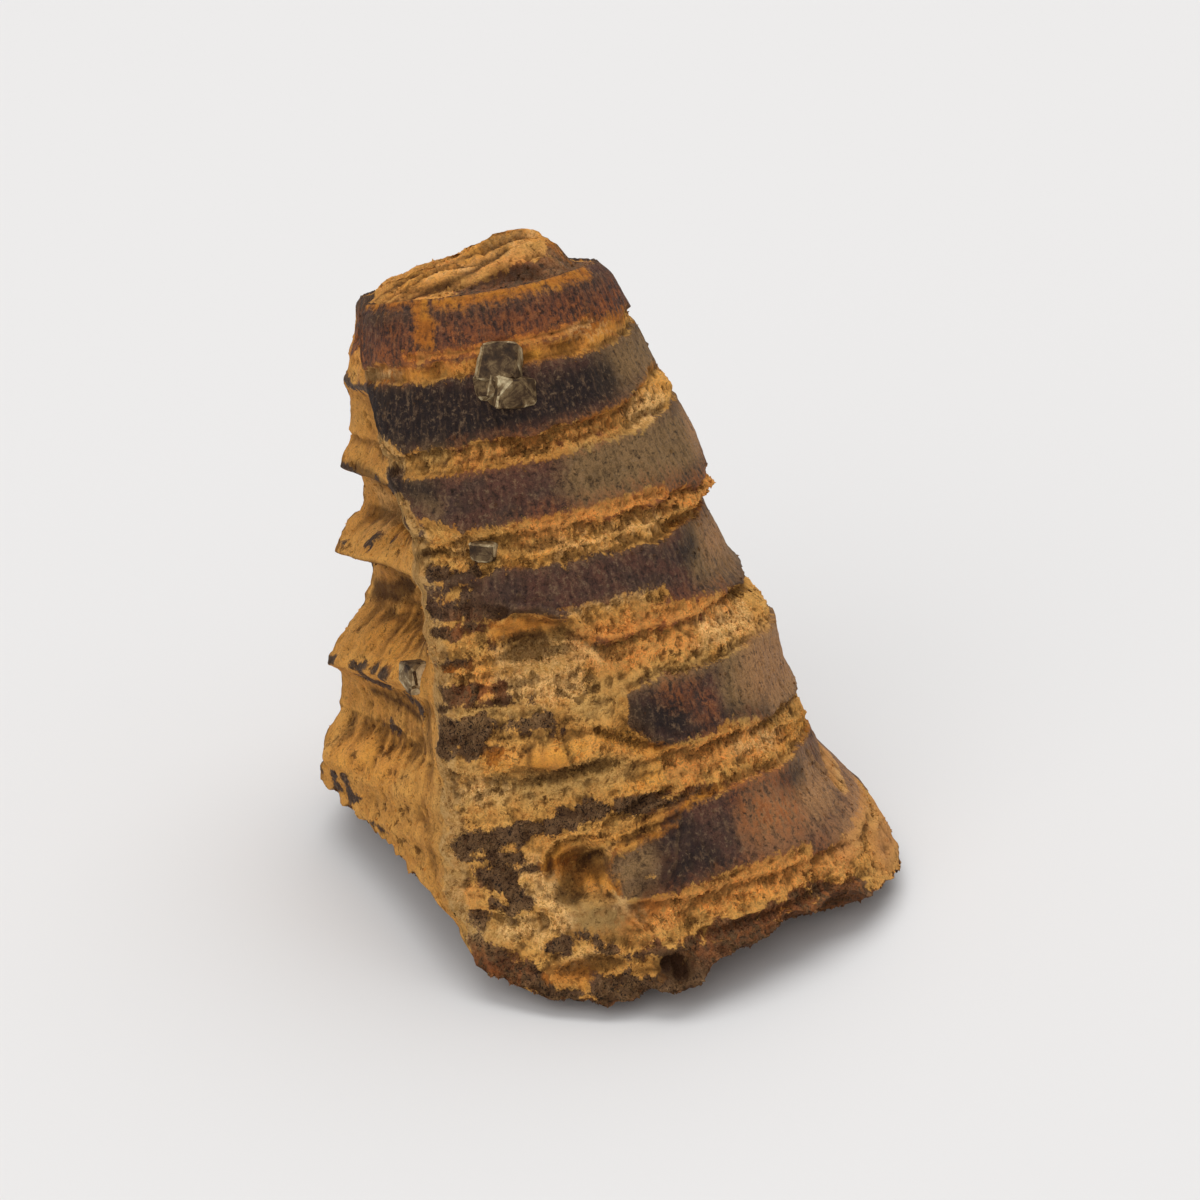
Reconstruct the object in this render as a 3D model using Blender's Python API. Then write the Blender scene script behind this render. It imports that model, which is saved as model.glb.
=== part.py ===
"""Fossil nautiloid: a broken length of chambered shell, standing on its wide end.

The animal grew a straight, tapering shell that was divided into chambers by cupped walls.
Mud filled it and turned to ironstone, so what is left is a stone cone with a raised, dark
crust round each chamber and a soft ochre seam along each wall (a suture). Its left side has
broken away down to the filling, where every wall still stands out as a thin ledge.

The whole piece is one stone, so it is one object. Its skin is a loft through outlines that
differ at every level; the blocky crystals that grew on it are joined to it.
Lengths are in millimetres and angles in degrees until the mesh is made, in metres.
"""

import math

import bmesh
import bpy
import numpy as np
from mathutils import Euler, Matrix, Vector, noise

MM = 0.001

# ---- the cone that the shell grew along -------------------------------------------------
BASE_RADIUS = 20.6  # where the axis meets level 0
TAPER = 0.271  # radius lost for each millimetre up the axis
LEAN_LEFT = 10.7
LEAN_BACK = 14.0
AXIS_FOOT = (-1.616, 0.839, -0.2)

# ---- the chambers, told by the sutures between them, narrow end first -------------------
SUTURE_LEVELS = (38.5, 32.8, 26.1, 17.9, 10.0, 0.8)
SUTURE_TILTS = (0.0, 0.0, 0.6, 0.75, 1.4, 1.5)  # how much lower each runs on the right
SEAM_HALF_HEIGHTS = (0.75, 0.6, 1.15, 1.6, 1.6, 1.4)
SEAM_SLOPE = 0.35
CRUST_TOP, CRUST_FLARE = 0.1, 0.4  # each chamber's crust stands out more towards its foot
APEX_LEVEL, FOOT_LEVEL = 46.0, -9.0

# ---- the broken left side, seen as a chord cut from each round outline ------------------
# The near edge is the sharp arris beside the crusted front: (level, direction).
NEAR_EDGE = (
    (-6, -20), (0, -22), (4, -27.5), (10, -27.5), (18, -28), (22, -29), (27, -31),
    (32, -39), (36, -47), (38.5, -57), (44, -64),
)
FAR_EDGE_AT_WALLS = -97.0
WALL_DROPS = (1.0, 1.4, 1.3, 1.2, 1.1, 1.0)  # a wall meets the break this far below its suture
HOLLOW_REACHES = (12.0, 12.0, 23.0, 29.0, 15.0, 3.0, 0.0)  # degrees further round, a chamber
HOLLOW_PROFILE = (
    (0, 0), (0.08, 0.3), (0.16, 0.66), (0.27, 0.93), (0.4, 1.0), (0.55, 1.0), (0.68, 0.82),
    (0.8, 0.45), (0.9, 0.14), (1, 0),
)
DEEPEST_REACH = 29.0
SCOOP = 2.2

# ---- rims, and what is worn, sunk or raised on the skin ---------------------------------
TOP_RIM = (
    (-180, 42.8), (-140, 42.7), (-100, 43.0), (-60, 43.1), (-30, 43.3), (0, 43.1),
    (30, 43.0), (60, 43.0), (90, 42.6), (120, 42.4), (180, 42.8),
)
# How high the lower rim stands over the ground: (direction, height).
RIM_LIFT = (
    (-180, 1.6), (-150, 1.3), (-128, 1.9), (-108, 3.9), (-90, 4.3), (-75, 4.4), (-60, 4.9),
    (-45, 5.0), (-31, 5.0), (-26, 3.5), (-20, 1.9), (-12, 1.3), (0, 1.2), (7, 1.4), (12, 1.8),
    (18, 2.3), (24, 3.1), (32, 3.9), (45, 4.2), (56, 3.9), (65, 2.6), (80, 1.7), (100, 1.7),
    (120, 1.3), (150, 1.7), (180, 1.6),
)
# The right-hand profile strays from the true cone: (level, how far out).
RIGHT_PROFILE = (
    (-4, 1.2), (0, 0.85), (2.6, -0.4), (5, -1.3), (6.5, -1.3), (8, -0.85), (12, -0.75),
    (15, -0.2), (16.5, 0.3), (18.5, -0.4), (20.5, -1.3), (25.0, -1.1), (25.7, 0.5),
    (26.6, 0.3), (30, 0.35), (31.8, 0.4), (33.0, 0.75), (34.2, 0.55), (34.8, 0.0), (38.4, 0.0), (39, 0.0), (44, -0.1),
)
# Left of this line the front has lost its crust: (level, direction).
WORN_EDGE = (
    (-6, 10), (0, 14), (4, 18), (12, 22), (17, 16), (21, 8), (23, -10), (28, -24), (30, -60),
)
WORN_DEPTH = 0.75
# (direction, level, half width in degrees, half height, how far out)
HUMPS_AND_PITS = (
    (0, 20.0, 13, 1.8, -1.1),  # pocket under the ragged fourth crust
    (1.5, 4.7, 7.5, 2.1, -1.9),  # round pit
    (13, 4.0, 6, 2.2, 0.6),  # lens beside the pit
    (3, 12.5, 11, 1.3, 0.7),  # crumbly lump
    (0, -1.6, 8, 0.9, -0.9),  # hollow under the front
    (15.5, -2.5, 3.4, 1.0, -1.8),  # hole in the lower rim
    (150, 29.0, 22, 4.5, -1.0),  # old chips round the back
    (205, 14.0, 26, 5.0, -1.3),
    (120, 6.0, 16, 4.0, -0.8),
)
ROUGHNESS_SIZE, ROUGHNESS_DEPTH = 4.2, 0.3
WORN_SIZE, WORN_ROUGHNESS = 2.1, 0.42
RAGGED_SIZE, RAGGED_HEIGHT = 3.1, 0.45  # the crusts' edges wander up and down

# ---- the ends ---------------------------------------------------------------------------
TOP_DOME, TOP_ROUNDING = 0.7, 0.4
# The mound of old filling on the narrow end: its crest along the left-right line.
MOUND_CREST = (
    (-7.4, 0.1), (-5.6, 0.8), (-3.6, 1.2), (-1.5, 1.5), (0.6, 1.7), (1.8, 2.0), (2.7, 2.35),
    (3.6, 2.5), (4.8, 2.5), (5.8, 2.25), (6.6, 1.4), (7.2, 0.4), (7.8, 0.0),
)
MOUND_HALF_WIDTH, MOUND_BACK = 4.4, 0.4
FOOT_FLAT_TO, FOOT_DISH_FROM, FOOT_DISH_TO, FOOT_DISH = 0.72, 0.2, 0.45, 1.4
FOOT_FLAT_TO_LEFT = 0.45

# ---- how finely the loft is laid --------------------------------------------------------
FACE_COLUMNS, FRONT_COLUMNS, BACK_COLUMNS = 14, 41, 19
FRONT_TO = 92.0
STEPS_IN_CHAMBER = 4
LEAST_ROW = 0.12
TOP_RINGS = (0.9, 0.76, 0.58, 0.38, 0.18)
FOOT_RINGS = (0.93, 0.84, 0.72, 0.55, 0.4, 0.2)

# ---- the crystals: (name, direction, level, sunk below the skin, size, turns) ------------
CRYSTALS = (
    ("crystal_upper", 5.5, 38.6, 0.3, (3.3, 2.6, 2.5), (8, 10, 22)),
    ("crystal_lower", 8.0, 36.7, 0.4, (2.6, 2.6, 1.9), (-14, 18, -20)),
    ("crystal_side", 1.5, 36.9, 0.5, (1.7, 2.3, 1.9), (18, -14, 38)),
    ("crystal_left", -41.0, 17.8, 0.35, (1.9, 2.2, 2.6), (10, 0, 14)),
    ("crystal_small", -9.0, 26.4, 0.45, (1.7, 1.8, 1.3), (0, 12, 8)),
)
CRYSTAL_BEVEL = 0.22


def shell_axes():
    """Unit vectors of the leaning shell: up its axis, to its right, and to its back."""
    up = Vector((-math.tan(math.radians(LEAN_LEFT)), math.tan(math.radians(LEAN_BACK)), 1.0)).normalized()
    right = (Vector((1, 0, 0)) - up.x * up).normalized()
    return np.array(up), np.array(right), np.array(up.cross(right))


UP, RIGHT, BACK = shell_axes()


def smooth(low, high, x):
    """0 below low, 1 above high, and an S between them."""
    t = np.clip((x - low) / (high - low), 0, 1)
    return t * t * (3 - 2 * t)


def read(rows, x):
    """A value read from a short table of (x, value) rows."""
    xs, values = zip(*rows)
    return np.interp(x, xs, values)


def wrapped(direction):
    """The same direction, from -180 to 180 degrees. 0 faces the front and 90 the right."""
    return (direction + 180.0) % 360.0 - 180.0


def cone_radius(level):
    return BASE_RADIUS - TAPER * level


def suture_level(index, direction):
    """The level of a suture, which tilts a little and wanders as it goes round."""
    turn = np.radians(np.atleast_1d(direction))
    spots = np.stack([np.sin(turn), np.cos(turn), 0 * turn + 0.9 * index], -1) * 18 / RAGGED_SIZE
    wander = np.array([noise.noise(Vector(p)) for p in spots.reshape(-1, 3)]).reshape(turn.shape)
    return SUTURE_LEVELS[index] - SUTURE_TILTS[index] * np.sin(turn) + RAGGED_HEIGHT * wander


def chamber_and_share(direction, level, drops=(0,) * 6):
    """Which chamber a point is in, and its share of the way down from the wall above."""
    walls = [np.full_like(level, APEX_LEVEL)]
    walls += [suture_level(i, direction) - drop for i, drop in enumerate(drops)]
    walls.append(np.full_like(level, FOOT_LEVEL))
    chamber = np.zeros(level.shape, int)
    share = np.zeros(level.shape)
    for i, (above, below) in enumerate(zip(walls, walls[1:])):
        inside = (level <= above) & (level > below)
        chamber[inside] = i
        share[inside] = ((above - level) / (above - below))[inside]
    return chamber, share


def crust_height(direction, level):
    """The crust round each chamber, which stops at the seams along the sutures."""
    crust = np.ones_like(level)
    for i, half in enumerate(SEAM_HALF_HEIGHTS):
        away = np.abs(level - suture_level(i, direction))
        crust = np.minimum(crust, smooth(half - SEAM_SLOPE, half + SEAM_SLOPE, away))
    share = chamber_and_share(direction, level)[1]
    return crust * (CRUST_TOP + CRUST_FLARE * share)


def in_seam(direction, level):
    """1 in the seams between the crusts."""
    return 1 - crust_height(direction, level) / (CRUST_TOP + CRUST_FLARE)


def worn_share(direction, level):
    """1 where the front has lost its crust."""
    edge = read(WORN_EDGE, level)
    return smooth(4, -4, direction - edge) * smooth(-60, -40, direction) * smooth(27, 20, level)


def skin_radius(direction, level):
    """The distance of the unbroken skin from the axis."""
    radius = cone_radius(level) + crust_height(direction, level)
    radius -= WORN_DEPTH * worn_share(direction, level)
    on_right = smooth(35, 80, direction) * smooth(140, 95, direction)
    radius += read(RIGHT_PROFILE, level) * on_right
    for at, height, half_width, half_height, out in HUMPS_AND_PITS:
        span = (wrapped(direction - at) / half_width) ** 2 + ((level - height) / half_height) ** 2
        radius += out * np.clip(1 - span, 0, 1) ** 1.5
    return radius


def hollow_depth(direction, level):
    """How deep the broken side is scooped at a level, as degrees of reach round the shell."""
    chamber, share = chamber_and_share(np.full_like(level, direction), level, WALL_DROPS)
    return np.array(HOLLOW_REACHES)[chamber] * read(HOLLOW_PROFILE, share)


def broken_edges(level):
    """The two directions between which the side has broken away."""
    return read(NEAR_EDGE, level), FAR_EDGE_AT_WALLS - hollow_depth(-90.0, level)


def stone_radius(direction, level):
    """The distance of the stone's surface from the axis, with the broken side cut away."""
    direction = wrapped(direction)
    skin = skin_radius(direction, level)
    near, far = broken_edges(level)
    broken = (direction > far) & (direction < near)
    at = np.where(broken, direction, far)
    from_near, from_far = skin_radius(near, level), skin_radius(far, level)
    reach = from_near * np.sin(np.radians(near - at)) + from_far * np.sin(np.radians(at - far))
    chord = from_near * from_far * np.sin(np.radians(near - far)) / reach
    share = (at - far) / (near - far)
    scooped = SCOOP * hollow_depth(-60.0, level) / DEEPEST_REACH * np.sin(np.pi * share**1.6)
    return np.where(broken, np.minimum(skin, chord - scooped), skin)


def place(direction, level, radius):
    """A point of the shell's own frame, in the part's frame, in millimetres."""
    turn = np.radians(direction)[..., None]
    radius = radius[..., None]
    return AXIS_FOOT + level[..., None] * UP + radius * (np.sin(turn) * RIGHT - np.cos(turn) * BACK)


def rim_level(direction):
    """The level at which the skin meets the lower rim's height over the ground."""
    height = read(RIM_LIFT, wrapped(direction))
    level = np.zeros_like(direction)
    for _ in range(14):
        reached = place(direction, level, stone_radius(direction, level))[..., 2]
        level = level + 0.8 * (height - reached) / UP[2]
    return level


def column_directions(level):
    """A direction for each column, so that columns run along both edges of the break."""
    near, far = broken_edges(level)
    stops = (far, near, np.full_like(near, FRONT_TO), far + 360)
    counts = (FACE_COLUMNS, FRONT_COLUMNS, BACK_COLUMNS)
    share, start, end = [], [], []
    first = 0
    for count, begin, stop in zip(counts, stops, stops[1:]):
        share.append(np.arange(count) / count)
        start.append(begin[first:first + count])
        end.append(stop[first:first + count])
        first += count
    share, start, end = (np.concatenate(part) for part in (share, start, end))
    return start + (end - start) * share


def row_levels():
    """Levels for the loft's rows, with one at each edge of every seam."""
    levels = [FOOT_LEVEL + 3.0, -3.2, -2.0]
    for i in reversed(range(len(SUTURE_LEVELS))):
        for side in (-1, 1):
            for slope in (-SEAM_SLOPE, SEAM_SLOPE):
                levels.append(SUTURE_LEVELS[i] + side * SEAM_HALF_HEIGHTS[i] + slope)
        above = SUTURE_LEVELS[i - 1] - SEAM_HALF_HEIGHTS[i - 1] - SEAM_SLOPE if i else 42.4
        levels += list(np.linspace(levels[-1], above, STEPS_IN_CHAMBER + 1)[1:-1])
    return levels + [42.4]


def suture_shift(base, directions):
    """How far a row strays from its level, to keep beside the sutures nearest to it."""
    shifts = [suture_level(i, directions) - at for i, at in enumerate(SUTURE_LEVELS)]
    above = max((i for i, at in enumerate(SUTURE_LEVELS) if at >= base), default=0)
    below = min(above + 1, len(SUTURE_LEVELS) - 1)
    span = SUTURE_LEVELS[above] - SUTURE_LEVELS[below]
    share = np.clip((SUTURE_LEVELS[above] - base) / span, 0, 1) if span else 0.0
    return shifts[above] * (1 - share) + shifts[below] * share


def skin_grid():
    """Directions and levels of the loft, one row for each level from the lower rim up."""
    columns = FACE_COLUMNS + FRONT_COLUMNS + BACK_COLUMNS
    foot = np.zeros(columns)
    for _ in range(4):
        directions = column_directions(foot)
        foot = rim_level(directions)
    rows = []
    for index, base in enumerate(row_levels()):
        level = np.full(columns, base)
        for _ in range(3):
            directions = column_directions(level)
            shifted = base + suture_shift(base, directions)
            level = np.maximum(shifted, foot + LEAST_ROW * index)
        rows.append((column_directions(level), level))
    for _ in range(3):
        level = read(TOP_RIM, wrapped(column_directions(level)))
    rows.append((column_directions(level), level))
    directions, levels = (np.array(part) for part in zip(*rows))
    return directions, levels


def lumps(points, size):
    """Even noise of a given size at each point."""
    values = [noise.noise(Vector(p) / size) for p in (points - AXIS_FOOT).reshape(-1, 3)]
    return np.array(values).reshape(points.shape[:-1])


def skin_points():
    directions, levels = skin_grid()
    points = place(directions, levels, stone_radius(directions, levels))
    axis_points = place(directions, levels, np.zeros_like(levels))
    outward = points - axis_points
    outward /= np.linalg.norm(outward, axis=-1, keepdims=True)
    depth = ROUGHNESS_DEPTH * lumps(points, ROUGHNESS_SIZE)
    coarse = worn_share(wrapped(directions), levels) + in_seam(directions, levels)
    depth += WORN_ROUGHNESS * np.clip(coarse, 0, 1) * lumps(points, WORN_SIZE)
    depth[0] = 0
    depth[-1] -= TOP_ROUNDING
    return points + depth[..., None] * outward


def top_ring(rim, share):
    """One ring of the narrow end: a low dome with the mound of filling on it."""
    centre = rim.mean(axis=0)
    flat = centre + (rim - centre) * share
    across = (flat - centre) @ RIGHT
    back = (flat - centre) @ BACK
    mound = read(MOUND_CREST, across) * np.clip(1 - ((back - MOUND_BACK) / MOUND_HALF_WIDTH) ** 2, 0, 1)
    return flat + (TOP_DOME * (1 - share**2) + mound)[:, None] * UP


def foot_ring(rim, lift, share):
    """One ring of the wide end: flat where it stands, dished inside, and lifted at the rim."""
    centre = np.array([rim[:, 0].mean(), rim[:, 1].mean(), 0.0])
    flat = centre + (rim * (1, 1, 0) - centre) * share
    flat_to = np.interp(lift, (1.8, 4.3), (FOOT_FLAT_TO, FOOT_FLAT_TO_LEFT))
    rise = lift * np.clip((share - flat_to) / (1 - flat_to), 0, 1) ** 1.3
    dish = FOOT_DISH * (1 - smooth(FOOT_DISH_FROM, FOOT_DISH_TO, share))
    flat[:, 2] = rise + dish
    return flat


def loft(name, rings, low_centre, high_centre):
    """A closed mesh through a pile of rings of equal count, lowest first, in metres."""
    mesh = bmesh.new()
    rows = [[mesh.verts.new(Vector(p) * MM) for p in ring] for ring in rings]
    for below, above in zip(rows, rows[1:]):
        for i in range(len(below)):
            j = (i + 1) % len(below)
            mesh.faces.new((below[i], below[j], above[j], above[i]))
    for row, centre, end in ((rows[0], low_centre, -1), (rows[-1], high_centre, 1)):
        tip = mesh.verts.new(Vector(centre) * MM)
        for i in range(len(row)):
            mesh.faces.new((row[i], row[(i + 1) % len(row)], tip)[::end])
    bmesh.ops.triangulate(mesh, faces=mesh.faces)
    bmesh.ops.recalc_face_normals(mesh, faces=mesh.faces)
    data = bpy.data.meshes.new(name)
    mesh.to_mesh(data)
    mesh.free()
    return bpy.data.objects.new(name, data)


def build_stone():
    skin = skin_points()
    lower_rim, upper_rim = skin[0], skin[-1]
    lift = lower_rim[:, 2]
    foot = [foot_ring(lower_rim, lift, share) for share in FOOT_RINGS]
    top = [top_ring(upper_rim, share) for share in TOP_RINGS]
    low_centre = foot_ring(lower_rim, lift, 0.0)[0]
    high_centre = top_ring(upper_rim, 0.0)[0]
    return loft("fossil_nautiloid", foot[::-1] + list(skin) + top, low_centre, high_centre)


def build_crystal(name, direction, level, sunk, size, turns):
    """A blocky crystal with bevelled edges, set into the skin."""
    mesh = bmesh.new()
    bmesh.ops.create_cube(mesh, size=1.0)
    bmesh.ops.scale(mesh, vec=Vector(size) * MM, verts=mesh.verts)
    bmesh.ops.bevel(mesh, geom=mesh.edges[:], offset=CRYSTAL_BEVEL * MM, segments=1, affect="EDGES")
    data = bpy.data.meshes.new(name)
    mesh.to_mesh(data)
    mesh.free()
    crystal = bpy.data.objects.new(name, data)
    at = np.array([float(direction)])
    height = np.array([float(level)])
    spot = place(at, height, stone_radius(at, height) - sunk)[0]
    turn = math.radians(direction)
    outward = math.sin(turn) * RIGHT - math.cos(turn) * BACK
    sideways = Vector(UP).cross(Vector(outward)).normalized()
    frame = Matrix((sideways, Vector(outward), Vector(UP))).transposed()
    spin = Euler([math.radians(a) for a in turns]).to_matrix()
    crystal.matrix_world = Matrix.Translation(Vector(spot) * MM) @ (frame @ spin).to_4x4()
    crystal.display_type = "WIRE"
    crystal.hide_render = True
    return crystal


def stone_material():
    material = bpy.data.materials.new("ironstone")
    material.use_nodes = True
    shader = material.node_tree.nodes["Principled BSDF"]
    shader.inputs["Base Color"].default_value = (0.22, 0.12, 0.05, 1)
    shader.inputs["Roughness"].default_value = 0.8
    shader.inputs["Metallic"].default_value = 0.0
    return material


def collection(name):
    made = bpy.data.collections.new(name)
    bpy.context.scene.collection.children.link(made)
    return made


def main():
    for old in list(bpy.data.objects):
        bpy.data.objects.remove(old)
    parts = collection("fossil_nautiloid")
    joined = collection("crystals_to_join")
    stone = build_stone()
    stone.data.materials.append(stone_material())
    parts.objects.link(stone)
    for row in CRYSTALS:
        crystal = build_crystal(*row)
        joined.objects.link(crystal)
        union = stone.modifiers.new(crystal.name, "BOOLEAN")
        union.operation = "UNION"
        union.solver = "EXACT"
        union.object = crystal


main()
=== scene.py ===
# %% [markdown]
# # A fossil nautiloid
# The animal lived in a straight, tapering shell that it walled off into chambers as it grew.
# Mud filled the dead shell and turned to ironstone. What is left here is a broken length of
# it: a leaning stone cone with a dark crust round each chamber, a crumbly ochre seam along
# each wall, and a left side that has broken away down to the filling.
#
# This notebook dresses that stone. It first lays the same cone as the solid part, only with
# far more points. Then it grows the grain on it with Geometry Nodes, sets crystals into it,
# and gives it a finish that is worked out from noise and from films drawn on it.

import math

import bmesh
import bpy
import numpy as np
from mathutils import Euler, Matrix, Vector, noise


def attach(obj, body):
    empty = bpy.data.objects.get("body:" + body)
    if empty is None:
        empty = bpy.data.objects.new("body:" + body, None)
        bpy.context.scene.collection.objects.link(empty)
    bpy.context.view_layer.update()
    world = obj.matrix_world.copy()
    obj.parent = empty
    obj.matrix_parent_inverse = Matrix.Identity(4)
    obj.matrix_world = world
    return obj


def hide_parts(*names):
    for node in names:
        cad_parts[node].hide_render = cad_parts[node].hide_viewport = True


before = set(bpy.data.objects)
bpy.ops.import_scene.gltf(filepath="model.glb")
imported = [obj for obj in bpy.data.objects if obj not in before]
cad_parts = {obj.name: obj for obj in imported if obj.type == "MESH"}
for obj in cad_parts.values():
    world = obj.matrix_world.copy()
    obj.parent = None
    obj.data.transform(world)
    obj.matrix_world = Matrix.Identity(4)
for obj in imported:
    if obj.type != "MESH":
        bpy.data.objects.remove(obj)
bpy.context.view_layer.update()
MM = 0.001


def in_scene(name, data):
    """A new object in the scene, made from a mesh, a lamp or a camera."""
    made = bpy.data.objects.new(name, data)
    bpy.context.scene.collection.objects.link(made)
    return made


# %% [markdown]
# ## The camera
# A small object seen from a little above, through a long lens, so that its sides hardly
# converge. The camera comes first, because every later picture is seen through it.

# %% Camera
CAMERA_HEIGHT_ANGLE = math.radians(27)
CAMERA_DISTANCE = 250 * MM
CAMERA_AIM = Vector((-0.616, 0.839, 20.8)) * MM
SENSOR_MM, LENS_MM = 36.0, 107.14
NEAREST_SEEN = 10 * MM

towards_camera = Vector((0, -math.cos(CAMERA_HEIGHT_ANGLE), math.sin(CAMERA_HEIGHT_ANGLE)))
camera = in_scene("camera", bpy.data.cameras.new("camera"))
camera.data.sensor_width, camera.data.lens = SENSOR_MM, LENS_MM
camera.data.clip_start = NEAREST_SEEN
camera.location = CAMERA_AIM + towards_camera * CAMERA_DISTANCE
camera.rotation_euler = (-towards_camera).to_track_quat("-Z", "Y").to_euler()
bpy.context.scene.camera = camera
print("camera at, mm:", [round(v / MM) for v in camera.location])

# %% [markdown]
# ## The cone that the shell grew along
# A point on the stone is told by three numbers: its level along the leaning axis, its
# direction round it, and how far out it is. Directions are in degrees, with 0 facing the
# front and 90 the right. Every length here is in millimetres until the mesh is made.

# %% The leaning frame
BASE_RADIUS, TAPER = 20.6, 0.271
LEAN_LEFT, LEAN_BACK = 10.7, 14.0
AXIS_FOOT = np.array([-1.616, 0.839, -0.2])

axis = Vector((-math.tan(math.radians(LEAN_LEFT)), math.tan(math.radians(LEAN_BACK)), 1.0)).normalized()
rightward = (Vector((1, 0, 0)) - axis.x * axis).normalized()
UP, RIGHT, BACK = np.array(axis), np.array(rightward), np.array(axis.cross(rightward))


def smooth(low, high, x):
    """0 below low, 1 above high, and an S between them."""
    t = np.clip((x - low) / (high - low), 0, 1)
    return t * t * (3 - 2 * t)


def read(rows, x):
    """A value read from a short table of (x, value) rows."""
    xs, values = zip(*rows)
    return np.interp(x, xs, values)


def wrapped(direction):
    """The same direction, from -180 to 180 degrees."""
    return (direction + 180.0) % 360.0 - 180.0


def cone_radius(level):
    return BASE_RADIUS - TAPER * level


def place(direction, level, radius):
    """A point of the shell's own frame, in the part's frame."""
    turn = np.radians(direction)[..., None]
    radius = np.asarray(radius)[..., None]
    return AXIS_FOOT + level[..., None] * UP + radius * (np.sin(turn) * RIGHT - np.cos(turn) * BACK)


def lumps(points, size):
    """Even noise of a given size at each point, from -1 to 1."""
    flat = ((points - AXIS_FOOT) / size).reshape(-1, 3)
    return np.array([noise.noise(point) for point in flat]).reshape(points.shape[:-1])


print("the axis leans", round(math.degrees(math.acos(UP[2])), 1), "degrees from upright")

# %% [markdown]
# ## Chambers and sutures
# A suture is the line where a wall between two chambers met the shell. Each one tilts a
# little and wanders as it goes round, so its level is looked up by direction. Between two
# sutures the crust stands out, more so towards the chamber's foot; along a suture the crust
# is missing, and the soft filling shows as a seam.

# %% Suture levels
SUTURE_LEVELS = (38.5, 32.8, 26.1, 17.9, 10.0, 0.8)
SUTURE_TILTS = (0.0, 0.0, 0.6, 0.75, 1.4, 1.5)
SEAM_HALF_HEIGHTS = (0.5, 0.6, 1.15, 1.6, 1.6, 1.4)
RAGGED_SIZE, RAGGED_HEIGHT, MEAN_RADIUS, SEED_STEP = 3.1, 0.45, 18, 0.9
CRUST_TOP, CRUST_FLARES = 0.1, (0.1, 0.24, 0.24, 0.26, 0.3, 0.24, 0.35)
RIGHT_RISES, RIGHT_SPREADS = (0.0, 0.75, 0.2, 0.1, 0.1, 0.0), (0.1, 0.7, 0.0, 0.1, 0.0, 0.0)
APEX_LEVEL, FOOT_LEVEL = 46.0, -9.0

all_round = np.linspace(-180, 540, 1441)


def to_right(direction):
    """1 on the right side, fading out towards the front and the back."""
    return smooth(35, 80, direction) * smooth(140, 95, direction)


def suture_line(index):
    """One suture's level at every half degree."""
    turn = np.radians(all_round)
    rise = RIGHT_RISES[index] * to_right(wrapped(all_round))
    spots = np.stack([np.sin(turn), np.cos(turn), 0 * turn + SEED_STEP * index], -1)
    spots = spots * MEAN_RADIUS / RAGGED_SIZE
    wander = np.array([noise.noise(spot) for spot in spots])
    return SUTURE_LEVELS[index] - SUTURE_TILTS[index] * np.sin(turn) + RAGGED_HEIGHT * wander + rise


suture_lines = [suture_line(i) for i in range(len(SUTURE_LEVELS))]


def suture_level(index, direction):
    return np.interp(direction, all_round, suture_lines[index])


def chamber_and_share(direction, level, drops=(0,) * 6):
    """Which chamber a point is in, and its share of the way down from the wall above."""
    walls = [np.full_like(level, APEX_LEVEL)]
    walls += [suture_level(i, direction) - drop for i, drop in enumerate(drops)]
    walls.append(np.full_like(level, FOOT_LEVEL))
    chamber = np.zeros(level.shape, int)
    share = np.zeros(level.shape)
    for i, (above, below) in enumerate(zip(walls, walls[1:])):
        inside = (level <= above) & (level > below)
        chamber[inside] = i
        share[inside] = ((above - level) / (above - below))[inside]
    return chamber, share


def beyond_seams(direction, level):
    """How far a point is from the nearest seam's edge: above 0 on a crust, below 0 in a seam."""
    away = [
        np.abs(level - suture_level(i, direction)) - half - RIGHT_SPREADS[i] * to_right(direction)
        for i, half in enumerate(SEAM_HALF_HEIGHTS)
    ]
    return np.min(away, axis=0)


print("sutures at the front:", [round(float(suture_level(i, 0)), 1) for i in range(6)])

# %% [markdown]
# ## The broken left side
# The left side split off along a rough plane, so it is drawn as a straight cut across each
# round outline, between a near edge beside the front and a far edge round the back. The
# soft filling wore away faster than the walls, so the far edge swings out at each wall and
# in between them, and the cut is scooped hollow in each chamber.

# %% Broken edges and hollows
NEAR_EDGE = (
    (-6, -20), (0, -22), (4, -27.5), (10, -27.5), (18, -28), (22, -29), (27, -31),
    (32, -39), (36, -47), (38.5, -57), (44, -64),
)
FAR_EDGE_AT_WALLS = -97.0
WALL_DROPS = (1.0, 1.4, 1.3, 1.2, 1.1, 1.0)
HOLLOW_REACHES = (12.0, 12.0, 23.0, 29.0, 15.0, 3.0, 0.0)
HOLLOW_PROFILE = (
    (0, 0), (0.08, 0.3), (0.16, 0.66), (0.27, 0.93), (0.4, 1.0), (0.55, 1.0), (0.68, 0.82),
    (0.8, 0.45), (0.9, 0.14), (1, 0),
)
DEEPEST_REACH, SCOOP = 29.0, 2.2
CHIP_LENGTH, CHIP_REACH, CHIP_SEED = 1.3, 2.2, 4.0


def hollow_depth(direction, level):
    """How deep the broken side is scooped at a level, as degrees of reach round the shell."""
    chamber, share = chamber_and_share(np.full_like(level, direction), level, WALL_DROPS)
    return np.array(HOLLOW_REACHES)[chamber] * read(HOLLOW_PROFILE, share)


def broken_edges(level):
    """The two directions between which the side has broken away."""
    chips = np.array([noise.noise((at / CHIP_LENGTH, 0.0, CHIP_SEED)) for at in np.ravel(level)])
    near = read(NEAR_EDGE, level) + CHIP_REACH * chips.reshape(np.shape(level))
    return near, FAR_EDGE_AT_WALLS - hollow_depth(-90.0, level)


near_at_20, far_at_20 = (float(edge[0]) for edge in broken_edges(np.array([20.0])))
print(f"at level 20 the side has broken away from {far_at_20:.0f} to {near_at_20:.0f} degrees")


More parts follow.
